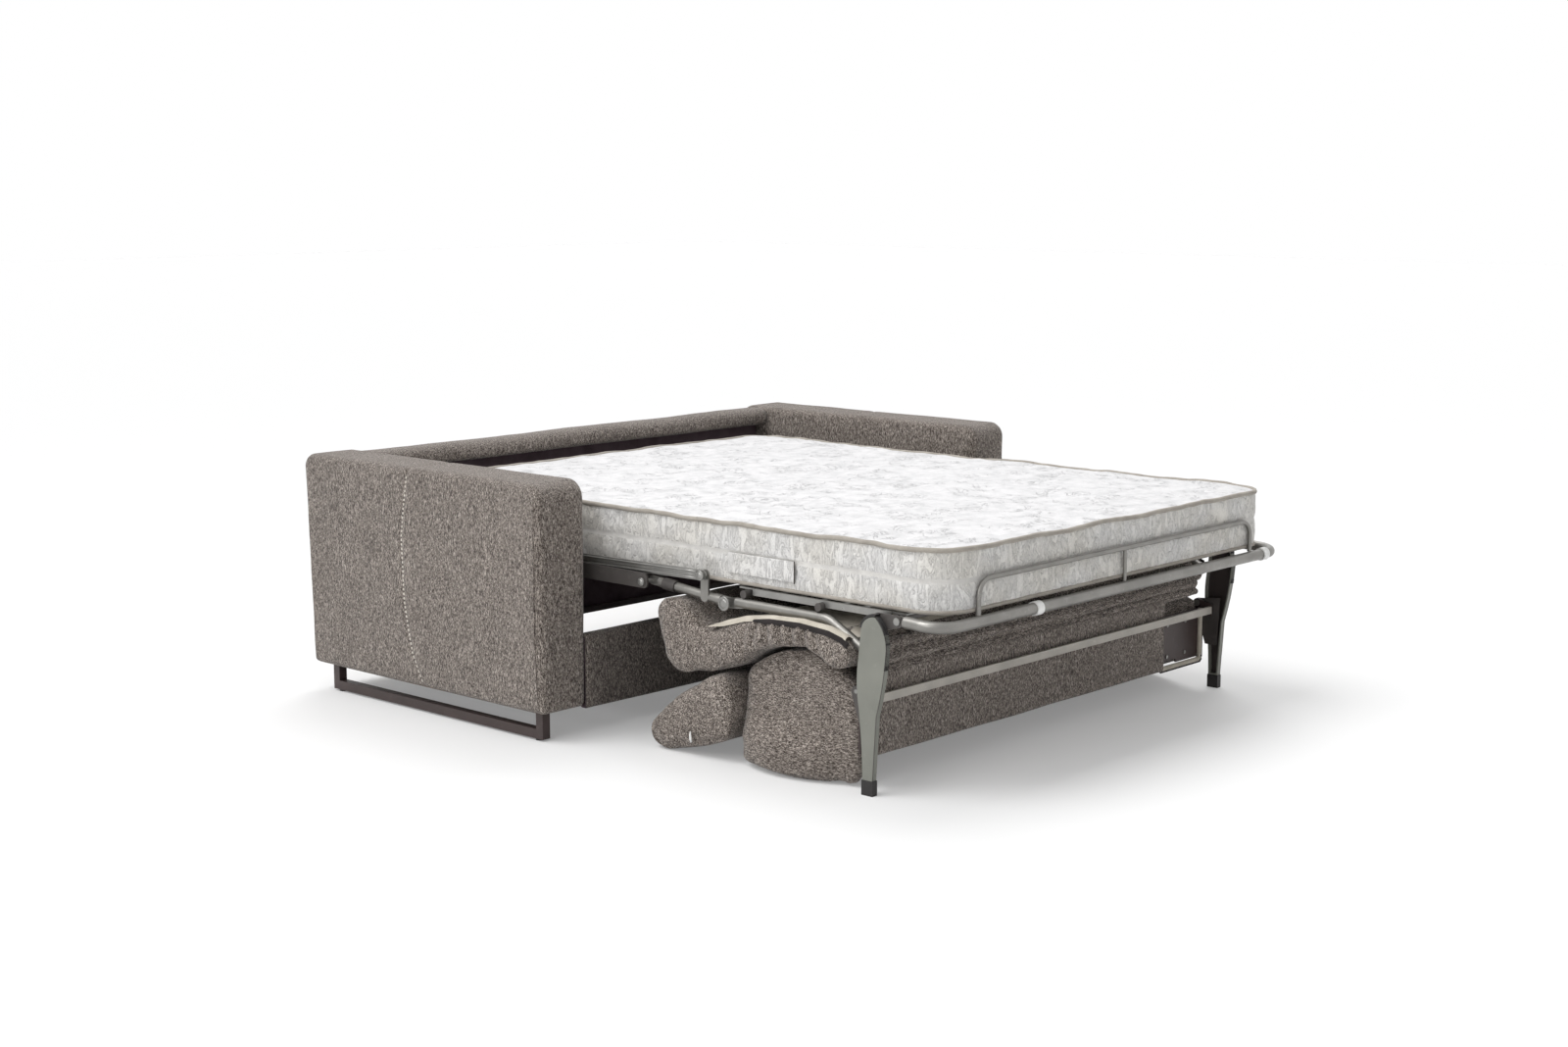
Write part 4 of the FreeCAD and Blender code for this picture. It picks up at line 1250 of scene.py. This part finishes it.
panel = add_piece("backrest_fabric_panel", make_fabric_panel(), [tweed_upright])
settle(panel, "backrest", "backrest_panel", padding=0.8)
slack_cover = add_piece("backrest_slack_cover", make_slack_cover(), [tweed_level])
slack_cover.modifiers.new("cloth", "SOLIDIFY").thickness = 0.003
smooth = slack_cover.modifiers.new("smooth", "SUBSURF")
smooth.levels = 1
smooth.render_levels = 1
settle(slack_cover, "backrest", padding=0.5)
lining_edge = add_piece("end_plate_lining_edge", plate_edge(7, 7.0, -857), [cream_cloth])
settle(lining_edge, "backrest")
plate_piping = add_piece("end_plate_piping", plate_edge(15, 2.6, -859), [black_tape])
settle(plate_piping, "backrest")


# Small parts of the mechanism
def make_leg_strips():
    """Black rubber strips let into the front edge of a leg, at its top."""
    arc = arc_outline((-915, 424), [((-937, 398), (-948.5, 347)), ((-946, 320), (-943, 300))], 240, 1)
    curve = [(y, z) for y, z in arc if y + 915 < -(z - 424) * 0.06 - 3 or y < -932]
    curve = sorted(curve, key=lambda place: -place[1])
    curve = [(y, z) for y, z in curve if y < -916 - (424 - z) * 0.2]
    across = (-754.5, -749.0, -743.5)
    return joined([sweep_tube([(x, y, z) for y, z in curve[::3]], 2.0, 6) for x in across])


def make_link_ridges():
    """Pressed ridges along the outer face of an upper link, the middle one finer."""
    rear, front = (-340, 450.7), (74, 443.3)
    along = np.linspace(rear[0], front[0], 12)
    heights = np.interp(along, (rear[0], front[0]), (rear[1], front[1]))
    ridges = []
    for side, radius in ((-8, 2.6), (0, 1.2), (8, 2.6)):
        ridges.append(sweep_tube([(-749.2, y, z + side) for y, z in zip(along, heights)], radius, 8))
    return joined(ridges)


# Profile of a rivet: how far out of the plate, and the share of its radius
rivet_rings = (
    (0, 1.0), (-2.2, 1.0), (-3.0, 0.93), (-2.6, 0.78),
    (-2.6, 0.66), (-4.4, 0.6), (-5.2, 0.42), (-5.5, 0),
)
rivet_sides = 28


def make_rivet(x, y, z, radius):
    """Riveted pivot seen from the left: a ring, a groove and a domed head."""
    points = []
    for depth, share in rivet_rings:
        for k in range(rivet_sides):
            a = 2 * math.pi * k / rivet_sides
            points.append((x + depth, y + radius * share * math.cos(a), z + radius * share * math.sin(a)))
    return np.array(points), loop_faces(len(rivet_rings), rivet_sides)


for piece in add_pair("leg_strips", make_leg_strips(), black_plastic):
    settle(piece, "seat_section")
for piece in add_pair("link_ridges", make_link_ridges(), link_steel):
    settle(piece, "upper_link")
for name, x, y, z, radius, body in (
    ("fold_rivet", -747, -430, 390, 18, "seat_section"),
    ("riser_rivet", -755, -357, 451, 12, "upper_link"),
    ("carriage_rivet", -768, -165, 414, 10, "carriage"),
):
    for piece in add_pair(name, make_rivet(x, y, z, radius), link_steel):
        turn_outwards(piece)
        settle(piece, body)

# Metal, plastic and board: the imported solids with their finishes
for finish, names in (
    (silver, "foot_tube retainer_loop seat_side_tube_left seat_side_tube_right head_frame"),
    (silver, "fold_tube_left fold_tube_right"),
    (dark_link, "seat_cross_tubes carriage_cross_tubes"),
    (link_steel, "upper_links riser_pins rocker_pins carriage_pins seat_pins base_pins plate_screws"),
    (link_steel, "mesh_middle mesh_head mesh_seat bed_side_angles"),
    (dark_link, "fold_sleeves rear_rockers carriage_rails leg_brackets"),
    (pale_bar, "crossbar"),
    (leg_coat, "bed_leg_left bed_leg_right"),
    (dark_coat, "sled_leg_left sled_leg_right swing_arms_front swing_arms_rear base_rails"),
    (dark_coat, "backrest_plates base_cross_ties"),
    (black_plastic, "leg_caps leg_seals sled_pads"),
    (white_plastic, "tube_clips"),
    (raw_wood, "arm_frames back_frame"),
    (inner_cloth, "front_rail_board"),
):
    for name in names.split():
        for material_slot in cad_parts[name].material_slots:
            material_slot.material = finish


# Studio: pale floor, white surroundings and soft lamps
floor_half = 30.0


def make_floor():
    """Pale floor that looks nearly white to the camera but still takes the shadows."""
    mesh = bpy.data.meshes.new("floor")
    corners = [(-floor_half, -floor_half, 0), (floor_half, -floor_half, 0)]
    corners += [(floor_half, floor_half, 0), (-floor_half, floor_half, 0)]
    mesh.from_pydata(corners, [], [(0, 1, 2, 3)])
    ground = Finish("floor", Roughness=0.9, Base_Color=(0.8, 0.8, 0.8, 1))
    seen = ground.node("ShaderNodeLightPath", out="Is Camera Ray")
    glow = ground.node("ShaderNodeEmission", None, {"Color": (1, 1, 1, 1), "Strength": 1.0})
    matt = Wire(ground, ground.shader.outputs[0])
    blend = ground.node("ShaderNodeMixShader", None, {0: seen * 0.22, 1: matt, 2: glow})
    ground.tree.links.new(blend.socket, ground.tree.nodes["Material Output"].inputs["Surface"])
    mesh.materials.append(ground.material)
    add_thing("floor", mesh)


def make_world():
    """White surroundings: full white where they are seen or reflected, weaker as a light."""
    world = bpy.data.worlds.new("studio")
    bpy.context.scene.world = world
    world.use_nodes = True
    sky = Nodes(world.node_tree)
    camera_ray = sky.node("ShaderNodeLightPath", out="Is Camera Ray")
    glossy_ray = sky.node("ShaderNodeLightPath", out="Is Glossy Ray")
    seen = sky.node("ShaderNodeMath", {"operation": "MAXIMUM"}, {0: camera_ray, 1: glossy_ray})
    background = sky.tree.nodes["Background"]
    background.inputs["Color"].default_value = (1, 1, 1, 1)
    sky.tree.links.new((seen * 0.45 + 0.55).socket, background.inputs["Strength"])


def add_light(name, kind, place, aim, **settings):
    """A light that shines from its place along its aim."""
    light = bpy.data.lights.new(name, kind)
    for key, value in settings.items():
        setattr(light, key, value)
    thing = add_thing(name, light)
    thing.location = place
    thing.rotation_euler = Vector(aim).to_track_quat("-Z", "Y").to_euler()


make_floor()
make_world()
bpy.context.scene.view_settings.view_transform = "Standard"
for name, place, aim, side, power in (
    ("overhead_box", (-0.6, 0.4, 3.4), (0.6, -0.4, -3.0), 2.6, 22),
    ("left_box", (-4.2, -1.0, 2.4), (4.2, 0.8, -2.1), 1.6, 30),
):
    add_light(name, "AREA", place, aim, shape="RECTANGLE", size=side, size_y=side, energy=power)
for name, aim, power in (("sun_left", (0.55, -0.35, -1.0), 1.5), ("sun_right", (-0.6, -0.4, -1.0), 1.0)):
    add_light(name, "SUN", (0, 0, 0), aim, energy=power, angle=math.radians(34))
